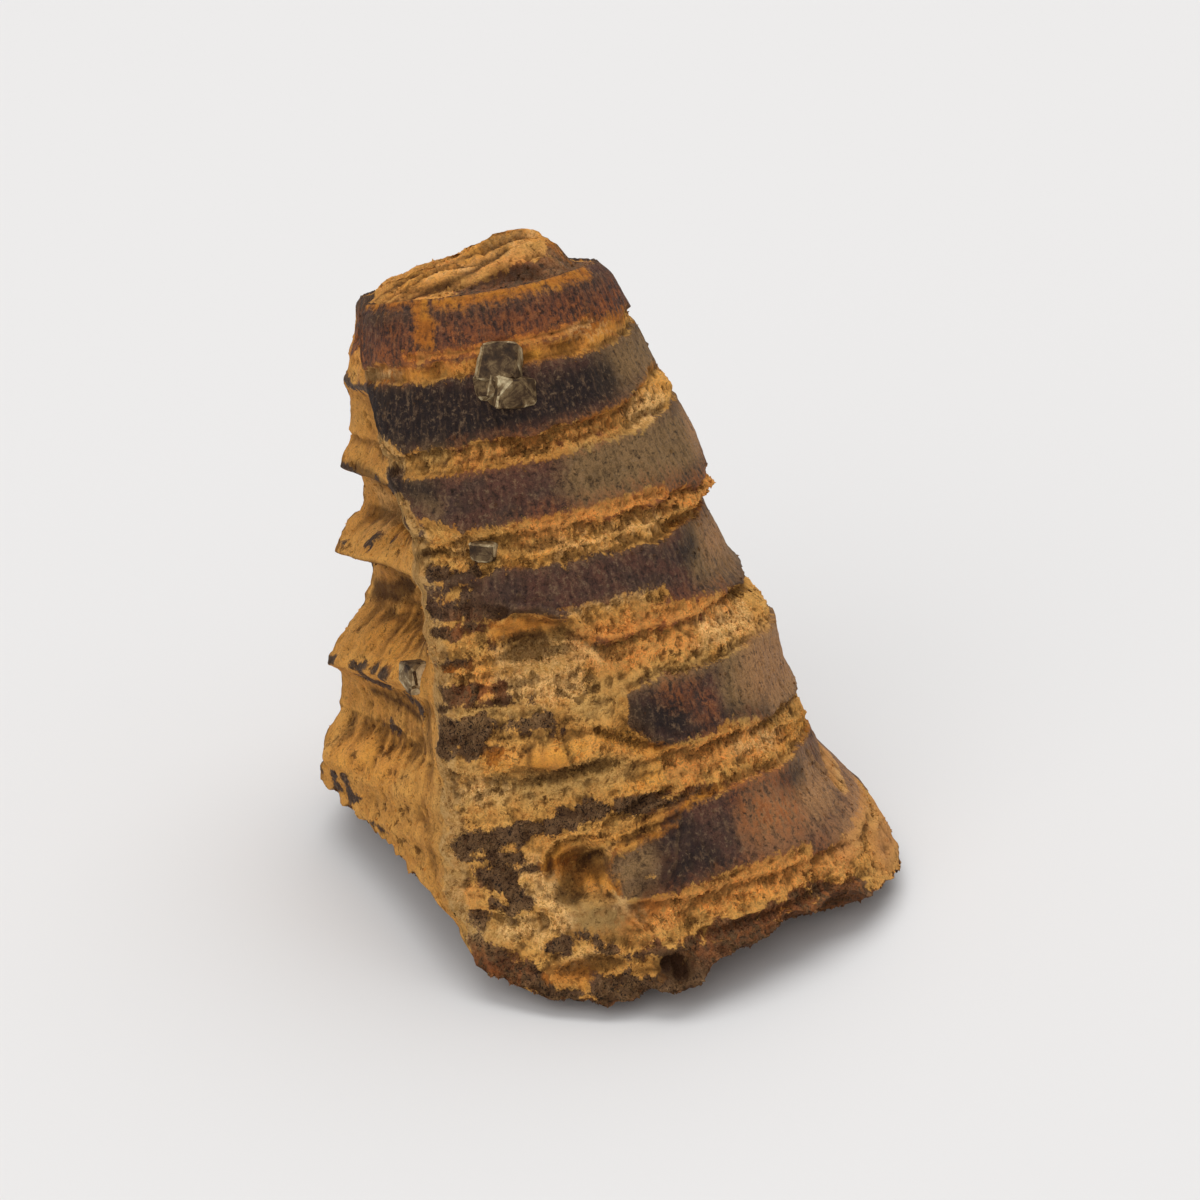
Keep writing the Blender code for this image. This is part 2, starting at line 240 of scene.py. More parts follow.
# %% [markdown]
# ## Wear, pits and lumps
# The front left has lost its crust and is rough ochre. A handful of larger pits and humps
# sit at their own places; each is a soft-edged dome, told by where it is, how wide it is and
# how far it stands out. The right-hand profile also strays from a true cone.

# %% The skin's distance from the axis
RIGHT_PROFILE = (
    (-4, 1.2), (0, 0.85), (2.6, -0.4), (5, -1.3), (6.5, -1.3), (8, -0.85), (12, -0.75),
    (15, -0.2), (16.5, 0.3), (18.5, -0.4), (20.5, -1.3), (25.0, -1.1), (25.7, 0.5),
    (26.6, 0.3), (30, 0.35), (31.8, 0.4), (33.0, 0.75), (34.2, 0.55), (34.8, 0.0),
    (38.4, 0.0), (39, 0.0), (44, -0.1),
)
WORN_EDGE = (
    (-6, 10), (0, 14), (4, 18), (12, 22), (17, 16), (21, 8), (23, -10), (28, -24), (30, -60),
)
WORN_DEPTH, WORN_FADE = 0.75, 4
WORN_LEFT, WORN_TOP = (-60, -40), (27, 20)
HUMPS_AND_PITS = (  # direction, level, half width in degrees, half height, how far it stands out
    (0, 20.0, 13, 1.8, -1.1),
    (1.5, 4.7, 7.5, 2.1, -1.9),
    (13, 4.0, 6, 2.2, 0.6),
    (3, 12.5, 11, 1.3, 0.7),
    (0, -1.6, 8, 0.9, -0.9),
    (16.4, -2.5, 1.3, 1.0, -1.2),
    (14.6, -2.2, 1.6, 0.6, -0.8),
    (150, 29.0, 22, 4.5, -1.0),
    (205, 14.0, 26, 5.0, -1.3),
    (120, 6.0, 16, 4.0, -0.8),
)
CRUST_EDGE = 0.17  # crisper than on the solid, which has fewer points


def worn_share(direction, level):
    """1 where the front has lost its crust."""
    edge = read(WORN_EDGE, level)
    left, top = smooth(*WORN_LEFT, direction), smooth(*WORN_TOP, level)
    return smooth(WORN_FADE, -WORN_FADE, direction - edge) * left * top


def crust_height(direction, level, ragged=0.0):
    crust = smooth(-CRUST_EDGE, CRUST_EDGE, beyond_seams(direction, level) + ragged)
    chamber, share = chamber_and_share(direction, level)
    return crust * (CRUST_TOP + np.array(CRUST_FLARES)[chamber] * share)


def skin_radius(direction, level, ragged=0.0):
    """The distance of the unbroken skin from the axis."""
    radius = cone_radius(level) + crust_height(direction, level, ragged)
    radius -= WORN_DEPTH * worn_share(direction, level)
    radius += read(RIGHT_PROFILE, level) * to_right(direction)
    for at, height, half_width, half_height, out in HUMPS_AND_PITS:
        span = (wrapped(direction - at) / half_width) ** 2 + ((level - height) / half_height) ** 2
        radius += out * np.clip(1 - span, 0, 1) ** 1.5
    return radius


def stone_radius(direction, level, ragged=0.0):
    """The distance of the stone's surface from the axis, with the broken side cut away."""
    direction = wrapped(direction)
    skin = skin_radius(direction, level, ragged)
    near, far = broken_edges(level)
    broken = (direction > far) & (direction < near)
    at = np.where(broken, direction, far)
    from_near, from_far = skin_radius(near, level), skin_radius(far, level)
    reach = from_near * np.sin(np.radians(near - at)) + from_far * np.sin(np.radians(at - far))
    chord = from_near * from_far * np.sin(np.radians(near - far)) / reach
    share = (at - far) / (near - far)
    scooped = SCOOP * hollow_depth(-60.0, level) / DEEPEST_REACH * np.sin(np.pi * share**1.6)
    return np.where(broken, np.minimum(skin, chord - scooped), skin)


probe = np.array([0.0, 90.0, 180.0])
print("radius at level 20, front, right and back:", stone_radius(probe, np.full(3, 20.0)).round(1))

# %% [markdown]
# ## Laying the points
# The skin is a net of columns and rows. Columns run along both edges of the break, so the
# arris beside the front stays sharp, and they are closest where the detail is finest. Each
# column is then shared out evenly from the lower rim to the upper one.

# %% The net of columns and rows
FACE_COLUMNS, FRONT_COLUMNS, BACK_COLUMNS = 78, 206, 84
FRONT_TO = 92.0
ROWS = 212
TOP_RIM = (
    (-180, 42.8), (-140, 42.7), (-100, 43.0), (-60, 43.1), (-30, 43.3), (0, 43.1),
    (30, 43.0), (60, 43.0), (90, 42.6), (120, 42.4), (180, 42.8),
)
RIM_LIFT = (
    (-180, 1.6), (-150, 1.3), (-128, 1.9), (-108, 3.9), (-90, 4.3), (-75, 4.4), (-60, 4.9),
    (-45, 5.0), (-31, 5.0), (-26, 3.5), (-20, 1.9), (-12, 1.3), (0, 1.2), (7, 1.4), (12, 1.8),
    (18, 2.3), (24, 3.1), (32, 3.9), (45, 4.2), (56, 3.9), (65, 2.6), (80, 1.7), (100, 1.7),
    (120, 1.3), (150, 1.7), (180, 1.6),
)
RIM_CHIPS, RIM_CHIP_RADIUS, RIM_CHIP_SEED = 0.7, 14, 7.0  # their noise is read round a circle
LEAST_RIM_HEIGHT, RIM_STEPS, RIM_STEP = 0.6, 14, 0.8
FIRST_TOP, NET_STEPS = 43.0, 4


def column_directions(level):
    """A direction for each column, given the level that the column has reached."""
    near, far = broken_edges(level)
    stops = (far, near, np.full_like(near, FRONT_TO), far + 360)
    counts = (FACE_COLUMNS, FRONT_COLUMNS, BACK_COLUMNS)
    share, start, end = [], [], []
    first = 0
    for count, begin, stop in zip(counts, stops, stops[1:]):
        share.append(np.arange(count) / count)
        start.append(begin[first:first + count])
        end.append(stop[first:first + count])
        first += count
    share, start, end = (np.concatenate(part) for part in (share, start, end))
    return start + (end - start) * share


def rim_level(direction):
    """The level at which the skin meets the lower rim's height over the ground."""
    spots = [(math.sin(turn), math.cos(turn)) for turn in np.radians(direction)]
    chips = [noise.noise((RIM_CHIP_RADIUS * x, RIM_CHIP_RADIUS * y, RIM_CHIP_SEED)) for x, y in spots]
    height = read(RIM_LIFT, wrapped(direction)) + RIM_CHIPS * np.array(chips)
    height = np.maximum(height, LEAST_RIM_HEIGHT)
    level = np.zeros_like(direction)
    for _ in range(RIM_STEPS):
        reached = place(direction, level, stone_radius(direction, level))[..., 2]
        level = level + RIM_STEP * (height - reached) / UP[2]
    return level


def skin_net():
    """Directions and levels of every point of the skin, one row at a time from the rim up."""
    columns = FACE_COLUMNS + FRONT_COLUMNS + BACK_COLUMNS
    foot, top = np.zeros(columns), np.full(columns, FIRST_TOP)
    for _ in range(NET_STEPS):
        foot = rim_level(column_directions(foot))
        top = read(TOP_RIM, wrapped(column_directions(top)))
    rows = []
    for share in np.linspace(0, 1, ROWS):
        level = foot + (top - foot) * share
        rows.append((column_directions(level), level))
    directions, levels = (np.array(part) for part in zip(*rows))
    return directions, levels


directions, levels = skin_net()
facing = wrapped(directions)
print("net:", directions.shape, "levels", levels.min().round(1), "to", levels.max().round(1))

# %% [markdown]
# ## Drawing on the stone
# Films of colour, thin ridges and cracks are all drawn the same way: as short strokes over
# the net. Each stroke has a half width in millimetres and a few stops of (direction, level).
# What is kept is the distance inside the nearest stroke's edge, not a yes or no, so that the
# finish can later tear that edge with noise as fine as it likes.

# %% How strokes are read
across_mm = np.radians(facing) * cone_radius(levels)


def inside_strokes(strokes, across=across_mm, up=levels, flat=False):
    """How far each point is inside the nearest stroke, in millimetres; below 0 is outside."""
    best = np.full(across.shape, -9.0)
    for half_width, *stops in strokes:
        spots = stops if flat else [(math.radians(at) * cone_radius(level), level) for at, level in stops]
        for (x0, y0), (x1, y1) in zip(spots, spots[1:] or spots):
            dx, dy = x1 - x0, y1 - y0
            length = max(dx * dx + dy * dy, 1e-9)
            t = np.clip(((across - x0) * dx + (up - y0) * dy) / length, 0, 1)
            best = np.maximum(best, half_width - np.hypot(across - x0 - t * dx, up - y0 - t * dy))
    return best


print("the net is", round(float(np.ptp(across_mm[0]))), "mm round at its foot")

# %% [markdown]
# Ridges stand out of the skin and cracks cut into it. The seams' edges are made ragged first.

# %% Ridges and cracks
RIDGES = (  # (height, half width, stops...)
    (0.5, 0.42, (-15, 21.3), (-11, 22.3), (-7, 21.7), (-2, 22.5), (3, 22.3), (7, 21.5), (12, 21.3),
     (15, 20.1), (20, 19.4)),
    (0.26, 0.22, (12.5, 0), (9.5, 1.4), (7.6, 3), (7.6, 4.3), (9.4, 5.5), (13, 5.8), (19, 6.1), (24.5, 6.9)),
    (0.3, 0.25, (5, 6.5), (10, 6.6), (17, 6.9), (24, 7.3)),
    (0.22, 0.2, (23.5, 6.6), (22, 5.4), (20.5, 4.2), (17.6, 3), (16, 2.3)),
    (0.3, 0.35, (-6.2, 4.4), (-5.6, 6), (-3, 7), (2, 7.3), (7, 6.9)),
    (0.22, 0.28, (-2, 25.8), (20, 25.7), (45, 25.6), (70, 25.5), (90, 25.3)),
    (0.3, 0.35, (18, 12.9), (24, 12), (32, 11.3), (40, 11.2)), (0.25, 0.3, (74, 6.4), (79, 4.4), (80, 2.6)),
    (0.3, 0.35, (-26, 18.7), (-12, 18.5), (2, 18.7)), (0.3, 0.3, (-24, 12.2), (-14, 11.6), (-8, 11.2)),
    (0.25, 0.3, (60, 9.6), (75, 8.7), (92, 7.9)), (-0.7, 0.3, (9, 7.3), (14, 7.6), (19, 8.3), (25, 8.6)),
    (-0.45, 0.35, (12, 13.5), (18, 12.3), (25, 11.6)), (-0.4, 0.3, (-28, 26.7), (-20, 26.5), (-14, 26.2)),
    (-0.4, 0.3, (22, -1), (40, -1.3), (56, -1.2)),
    (-0.5, 0.4, (-8, 10.9), (-2, 10.8), (6, 11.1), (12, 10.9)),
    (-0.45, 0.3, (-4.6, 4.8), (-4.2, 6), (-1.5, 6.6), (3, 6.6)), (-0.4, 0.5, (2.6, 4.9), (6.2, 5.4)),
)
SEAM_RAGGED, SEAM_RAGGED_SIZE = 0.22, 1.1

ragged = SEAM_RAGGED * lumps(place(facing, levels, cone_radius(levels)), SEAM_RAGGED_SIZE)
radius = stone_radius(directions, levels, ragged)
for height, *stroke in RIDGES:
    radius += height * smooth(0, stroke[0], inside_strokes([stroke]))
print("ridges and cracks drawn:", len(RIDGES))

# %% [markdown]
# ## Roughness that the solid also has
# The solid part carries slow lumps of the stone. The same noise at the same places is added
# here, so that the fine surface lies on the solid's own. The worn front and the seams are
# rougher. The roughness fades out at the lower rim, and the upper rim is rounded off.

# %% Skin points
ROUGHNESS_SIZE, ROUGHNESS_DEPTH = 4.2, 0.3
WORN_SIZE, WORN_ROUGHNESS = 2.1, 0.42
TOP_ROUNDING, TOP_ROUNDED_ROWS, CALM_ROWS = 0.4, 7, 6

seam_share = smooth(CRUST_EDGE, -CRUST_EDGE, beyond_seams(facing, levels) + ragged)
worn = worn_share(facing, levels)
skin = place(directions, levels, radius)
outward = skin - place(directions, levels, 0 * radius)
outward /= np.linalg.norm(outward, axis=-1, keepdims=True)
depth = ROUGHNESS_DEPTH * lumps(skin, ROUGHNESS_SIZE)
depth += WORN_ROUGHNESS * np.clip(worn + seam_share, 0, 1) * lumps(skin, WORN_SIZE)
row = np.arange(ROWS)[:, None]
depth *= smooth(0, CALM_ROWS, row)
depth -= TOP_ROUNDING * smooth(ROWS - TOP_ROUNDED_ROWS, ROWS - 1, row) ** 2
skin = skin + depth[..., None] * outward
print("skin spans, mm:", skin.reshape(-1, 3).min(0).round(1), skin.reshape(-1, 3).max(0).round(1))

# %% [markdown]
# ## The two ends
# The narrow end is a low dome with a striped mound of old filling across it. The wide end has
# a flat ring that it stands on, round a shallow dish, and rises to meet the lifted rims. Both
# are rings that shrink towards a middle point.

# %% Rings of the two ends
TOP_DOME, MOUND_HALF_WIDTH, MOUND_BACK = 0.7, 4.4, 0.4
MOUND_CREST = (
    (-7.4, 0.1), (-5.6, 0.8), (-3.6, 1.2), (-1.5, 1.5), (0.6, 1.7), (1.8, 2.0), (2.7, 2.35),
    (3.6, 2.5), (4.8, 2.5), (5.8, 2.25), (6.6, 1.4), (7.2, 0.4), (7.8, 0.0),
)
FOOT_FLAT_TO, FOOT_FLAT_TO_LEFT = 0.72, 0.45
LOW_RIM, HIGH_RIM, RIM_CURVE = 1.8, 4.3, 1.3
FOOT_DISH_FROM, FOOT_DISH_TO, FOOT_DISH = 0.2, 0.45, 1.4
TOP_RING_COUNT = 27
TOP_RINGS = tuple(1 - (i / TOP_RING_COUNT) ** 1.1 for i in range(1, TOP_RING_COUNT))
STRIPE_LENGTH, STRIPE_WIDTH, STRIPE_DEPTH = 4.5, 0.6, 0.7
STRIPE_SLANT, STRIPE_SEED = 0.16, 3.0
FOOT_RINGS = (0.99, 0.97, 0.93, 0.88, 0.8, 0.72, 0.6, 0.45, 0.35, 0.2)


def top_ring(rim, share):
    centre = rim.mean(axis=0)
    flat = centre + (rim - centre) * share
    across, back = (flat - centre) @ RIGHT, (flat - centre) @ BACK
    mound = read(MOUND_CREST, across) * np.clip(1 - ((back - MOUND_BACK) / MOUND_HALF_WIDTH) ** 2, 0, 1)
    spots = np.stack([across / STRIPE_LENGTH, (back - STRIPE_SLANT * across) / STRIPE_WIDTH], -1)
    stripes = np.array([noise.noise((*spot, STRIPE_SEED)) for spot in spots])
    mound += STRIPE_DEPTH * stripes * smooth(0, 0.8, mound)
    return flat + (TOP_DOME * (1 - share**2) + mound)[:, None] * UP


def foot_ring(rim, share):
    lift = rim[:, 2]
    centre = np.array([rim[:, 0].mean(), rim[:, 1].mean(), 0.0])
    flat = centre + (rim * (1, 1, 0) - centre) * share
    flat_to = np.interp(lift, (LOW_RIM, HIGH_RIM), (FOOT_FLAT_TO, FOOT_FLAT_TO_LEFT))
    rise = lift * np.clip((share - flat_to) / (1 - flat_to), 0, 1) ** RIM_CURVE
    flat[:, 2] = rise + FOOT_DISH * (1 - smooth(FOOT_DISH_FROM, FOOT_DISH_TO, share))
    return flat


top_rings = [top_ring(skin[-1], share) for share in TOP_RINGS]
foot_rings = [foot_ring(skin[0], share) for share in FOOT_RINGS[::-1]]
foot_middle, top_middle = foot_ring(skin[0], 0.0)[0], top_ring(skin[-1], 0.0)[0]
print("rings:", len(foot_rings), "below and", len(top_rings), "above")

# %% [markdown]
# ## The films of colour
# Iron gave the stone most of its colours: near-black and purple-brown crusts, orange rust,
# golden filling, an olive-grey film and pale lime-rich grains. Each has its own list of
# strokes. The crust itself follows the chambers by rule: DARK strokes add to it and BARE ones
# lift it away. SMOOTHED strokes calm the grain.

# %% Strokes of the crust
DARK = (
    (0.45, (-26, 25.1), (-13, 25.2)), (0.25, (-26, 24.4), (-22, 24.4)), (0.5, (-22, 22.8), (-17, 23.1)),
    (0.5, (-15, 23.6), (-9, 23.8)), (0.35, (-28, 21.5), (-23, 21.6)), (0.6, (-20, 21.3), (-13, 21.4)),
    (0.3, (-14, 20.8), (-11, 20.6)), (0.3, (-16, 22.4), (-12, 22.5)), (0.3, (-28, 19.2), (-25, 19.2)),
    (0.25, (-21, 19.3), (-19, 19)), (0.75, (-26, 17.3), (-18, 17.4)), (0.5, (-18, 17.5), (-10.5, 17.2)),
    (0.25, (-27, 16.5), (-8, 16.5), (-3, 16.3)), (1.1, (-25, 14.6), (-20, 14.5), (-16, 14.9)),
    (0.6, (-24, 13.6), (-14, 13.4)), (0.35, (-14, 14.3), (-11, 14.9)),
    (0.5, (-10, 14.9), (-2, 14.8), (2, 14.6)), (0.5, (6, 21.6), (9, 21)),
    (0.75, (-26, 7.4), (-18, 7.5), (-10, 7.6)), (0.4, (-24, 6.5), (-12, 6.4)), (0.6, (-10, 7.9), (-2, 7.9)),
    (0.55, (0, 8.3), (8, 8.5)), (0.6, (8, 8.4), (14, 8.3), (20, 8)), (0.4, (20, 7.9), (34, 7.7)),
    (0.85, (-19, 5.2), (-14, 5)), (0.7, (-13.5, 4.4), (-12, 3.2)), (0.4, (-17, 3.5), (-13, 2.5)),
    (0.3, (-22, 2.6), (-21, 2.5)), (1.3, (11.4, 4.2), (14, 4.4), (19.5, 5)), (0.8, (11.4, 2.9), (15, 3)),
    (1, (22, 5), (20, 4), (18, 3)), (0.4, (-6, 0.3), (-1, 0.4)), (0.25, (3, -0.2), (5, -0.6)),
    (0.7, (-18, -1.1), (-9, -1.7)), (0.4, (-23, -0.3), (-17, -0.6)), (0.5, (-5, -3), (8, -3.4)),
    (0.35, (9, -1.2), (20, -1.1)), (0.5, (13, -1.4), (45, -1.2), (58, -1.6)),
    (1, (20, -2.4), (40, -2.2), (60, -2.4)), (0.95, (-21, 0.3), (-17, -0.6), (-12, -1.8), (-9, -2.4)),
    (0.45, (0, -2.5), (11, -3)), (0.5, (-6, -3.1), (0, -3.7), (6, -4.1), (12, -4.2), (17, -3.9)),
    (0.3, (-98, 17.4), (-84, 17.6), (-68, 17.6), (-58, 17.3)), (0.2, (-78, 26.2), (-74, 26.1)),
    (0.15, (-65, 26.5), (-61, 26.6)), (0.2, (-104, 9.6), (-98, 9.4)), (0.15, (-100, 25.9), (-95, 25.8)),
    (0.25, (-93, 9.3), (-84, 9.5)), (0.5, (-42, 32.5), (-39, 32)), (1.7, (-95, 41.2), (-64, 41.2)),
    (0.5, (-95, 37.2), (-70, 37.4), (-50, 37.8)), (0.3, (-95, 31.2), (-80, 31.1)),
    (0.3, (-54, 31), (-40, 30.8)), (0.35, (-94, 24.4), (-82, 24.3)), (0.3, (-62, 24.1), (-40, 23.6)),
    (0.45, (-90, 16.4), (-70, 16)), (0.5, (-60, 15.9), (-45, 15.3)), (0.2, (-80, 12.9), (-70, 12.8)),
    (0.5, (-36, 31.2), (-31, 30.6)), (0.35, (-92, 8.4), (-78, 8.1)),
)
BARE = (
    (1.3, (-14, 20.8), (12, 20.4)), (1.05, (12, 20.5), (30, 20.1)), (0.7, (30, 20), (50, 19.2), (60, 18.7)),
    (0.6, (8, 21.2), (24, 21.3), (38, 20.9)), (0.8, (-45, 34), (-36, 33)), (0.4, (-36, 30.6), (-30, 28.4)),
    (0.8, (-25, 28.2), (-18, 27.6)), (0.9, (14, -1), (9, -1.6), (0, -1.6)), (0.45, (-35, 32.1), (60, 32.1)),
    (0.55, (-22, 27.5), (50, 27.4)), (0.3, (-30, 39.6), (50, 39.5)),
    (0.8, (24, 10.6), (44, 10.9), (52, 10.2)), (0.7, (16, 1.6), (30, 1.9), (50, 1.5)),
    (1.8, (68, -2.2), (95, -2.4)), (0.9, (62, 0.2), (95, 1.2)), (1, (80, 3.4), (92, 5)),
    (0.35, (36, 38), (62, 37.9)),
)
SMOOTHED = (
    (0.8, (-60, 38.5), (0, 38.5), (75, 38.8)), (1.6, (10, 4.4), (14, 4.6), (18, 4.4)),
    (1.2, (10, 2.8), (14, 2.2)), (1.3, (1, 1.8), (8, 1.5)), (1.5, (-2, 5.2), (6, 5)),
    (0.8, (-8, 21.1), (6, 21.1)), (1.5, (11, 4.2), (19, 5)), (0.9, (-6, -1.7), (-1, -2)),
    (0.8, (-4, 12.2), (1, 12.2)),
)
print("strokes of the crust:", len(DARK), "add,", len(BARE), "lift,", len(SMOOTHED), "calm")

# %% [markdown]
# The colours come next: soot-like black, olive, rust, golden filling, pale grains, the brown
# of narrow shaded cracks, and the tan of the weathered right side.

# %% Strokes of each colour
BLACK = (
    (2.2, (-46, 36.2), (-30, 35.8), (-12, 35.6)), (1.6, (-12, 35.4), (20, 35.4), (45, 35.6)),
    (0.5, (-46, 42.3), (-38, 41.6)), (0.8, (20, 3.4), (26, 4.6), (28, 3.4)), (0.4, (20, 5.4), (25, 6.2)),
    (0.4, (24, 11.7), (45, 12), (58, 10.9)), (0.8, (52, 22.9), (58, 23.3)), (0.5, (54, 6.2), (63, 6)),
    (0.7, (-20, 7.6), (-6, 7.9)), (0.7, (-38, 31.3), (-24, 30.8)), (0.4, (-60, 15.9), (-44, 15.2)),
    (0.45, (-25, 25.3), (-14, 25.3)), (0.4, (-26, 13.8), (-4, 13.8)), (0.5, (-26, 16.7), (-10, 16.7)),
    (1, (-18, -1.5), (-6, -2.3)), (0.5, (13, -2.6), (18, -2.6)), (1.3, (19, 14), (30, 13.2)),
    (0.6, (-6, 0.3), (0, 0.4)), (0.4, (-95, 37.2), (-60, 37.4)), (0.3, (12, -0.8), (45, -0.8)),
)
OLIVE = (
    (1.6, (50, 36), (65, 36.1), (85, 36.3)), (2.2, (28, 30), (55, 29.8), (85, 29.8)),
    (2.2, (60, 22.4), (75, 22), (100, 21.6)), (2.9, (54, 13.6), (70, 13.2), (95, 12.6)),
    (0.4, (10, 16.2), (30, 16.1), (45, 16.1)), (0.8, (8, 15.4), (14, 15.2)), (1.6, (62, 5), (72, 4.6)),
    (1.1, (-3, 19.1), (12, 19.2)), (0.8, (-24, 10.4), (-12, 10.6), (0, 10.4), (16, 10.6)),
    (1.2, (0, 2), (8, 1.5)), (0.6, (-5, 3.4), (0, 2.6)), (0.5, (-30, 31), (-24, 30)),
    (0.9, (10.5, 4.4), (15, 4.7)), (0.7, (10.5, 2.8), (13, 2.6)), (0.9, (-24, 1.3), (-10, 1.7)),
    (0.5, (-26, 33), (-20, 33.2)), (0.9, (-30, 10.6), (-29, 7.6), (-27, 4.4), (-24, 1.4)),
    (0.8, (-26, 16), (-14, 15.9), (-2, 15.7)), (0.6, (-28, 12.4), (-20, 12.2)),
)
RUST = (
    (0.7, (-20, 17.4), (-13, 17.4)), (0.4, (-19, 21.4), (-14, 21.4)), (0.4, (-21, -0.6), (-15, -1)),
    (1.4, (-95, 40.2), (-66, 40)), (0.9, (-44, 39.6), (-20, 39.8), (10, 39.9), (50, 40), (80, 40.2)),
    (0.4, (-38, 41.3), (-28, 41.2)), (0.45, (-12, 32.7), (10, 32.8), (40, 32.8), (60, 33.2)),
    (0.75, (3, 27.3), (20, 27.3), (50, 27.3)), (1, (48, 26.9), (70, 26.4), (98, 26.4)),
    (0.5, (-10, 40.9), (20, 41), (45, 41)), (1, (12, 19.3), (30, 19.6), (45, 19), (62, 18.4)),
    (0.8, (15, 18), (42, 17.6)), (0.5, (44, 18.8), (65, 18.6)), (0.4, (31, 15.2), (36, 14.2), (39, 13)),
    (1.2, (28, 9.8), (40, 10), (50, 9.6)), (0.6, (50, 9.6), (64, 8.8)),
    (1.1, (11, 0.8), (22, 1.2), (36, 1.2), (50, 0.6), (60, 0)), (0.4, (20, -1.6), (45, -1.5), (60, -1.8)),
    (0.6, (-24, -0.2), (-15, -1)), (1.3, (42, 5.2), (52, 4.2)), (1.2, (-90, 40.6), (-62, 40.4)),
    (0.8, (40, 7.2), (54, 6.9)), (0.5, (-26, 4.6), (-23, 4)),
)
GOLD = (
    (0.9, (-24, 43), (-22, 41.8), (-21.5, 40.8)), (0.5, (-17, 42.9), (-12, 42.7)),
    (0.45, (-7, 43.2), (-3, 42.6)), (0.65, (-10, 43), (10, 42.9), (40, 42.8), (62, 42.7)),
    (0.3, (8, 42.5), (14, 42.4)), (0.45, (-60, 43.2), (-30, 43.3)),
    (0.45, (-60, 38.5), (-10, 38.5), (30, 38.6), (70, 38.9)), (0.9, (38, 38.6), (62, 38.6)),
    (0.5, (30, 33.2), (55, 33.6)),
    (0.2, (12.2, 0.2), (9.3, 1.4), (7.4, 3), (7.4, 4.3), (9.2, 5.5), (13, 5.9), (19, 6.2)),
    (0.6, (50, 39), (65, 39), (80, 38.9)), (0.35, (-40, 38.4), (0, 38.4), (40, 38.3)),
    (0.9, (56, 33.3), (66, 33.9), (82, 34.3)),
    (0.95, (-14, 12.9), (-5, 12.6), (2, 12.4), (10, 12.8), (18, 12.3)), (0.7, (18, 11.8), (26, 10.9)),
    (0.9, (-8, 21), (-2, 20.9), (4, 20.8)), (0.9, (-7, -1.5), (-2, -1.9)),
    (0.6, (62, 8.7), (80, 7.6), (98, 6.8)), (0.4, (5, 6.6), (18, 7.1), (26, 7.6), (36, 7.8)),
    (0.35, (9, 5.6), (22, 6.5)), (0.35, (52, 25), (75, 24.9), (95, 24.8)), (0.8, (2, 3.7), (7, 3.4)),
    (1, (-4, 5.3), (-1, 5.6)), (1.3, (-90, 11.4), (-60, 11)), (1.2, (-90, 19.6), (-55, 18.9)),
    (1, (-85, 28), (-45, 27.4)), (0.7, (34, 1.2), (46, 1)), (0.5, (22, 0.9), (48, 0.2)),
    (0.6, (14, 9.5), (24, 9.6)), (0.6, (-26, 9.2), (-30, 8)), (0.5, (58, -1), (74, -1)),
    (0.4, (-26, 18.6), (-14, 18.9)), (0.35, (50, 16.4), (72, 16.3)),
    (0.5, (-2, 25.6), (20, 25.7), (48, 25.6)), (0.25, (11.5, -1.8), (13, -3)),
)
PALE = (
    (0.25, (12, 21.9), (24, 21.9), (34, 21.5)), (0.75, (47, 17.6), (67, 17.3)),
    (0.8, (-9, 17.3), (0, 17), (9, 16.9)), (0.6, (-8, 19.4), (6, 19), (14, 18.6)),
    (0.9, (-9, 5.4), (-7, 4), (-4, 2.2)), (0.25, (-17, 26.8), (-8, 26.5)), (0.45, (-50, 38.5), (-38, 38.4)),
    (0.3, (12, 25.6), (24, 25.7), (48, 25.6)), (0.3, (-41, 34), (-36, 32.9)),
    (1.2, (-100, 28.6), (-80, 27.8)), (0.9, (56, 32.9), (68, 32.9)), (0.3, (45, 9.6), (60, 9.2)),
    (0.5, (-15, 1.6), (-4, 1.2)), (0.25, (9, 5.2), (10, 4), (8.5, 2.4), (11, 0.8)),
    (0.3, (21, 5.8), (19.5, 4.2), (16, 2.8)), (0.3, (52, 3.6), (57, 3)), (0.25, (38, 39.2), (60, 39.3)),
    (0.5, (76, 2.4), (84, 3.4), (92, 3.8)), (0.25, (-4, -0.75), (4, -0.7)), (0.5, (-24, 10.8), (-14, 10.6)),
    (0.3, (-58, 41.4), (-52, 40)),
)
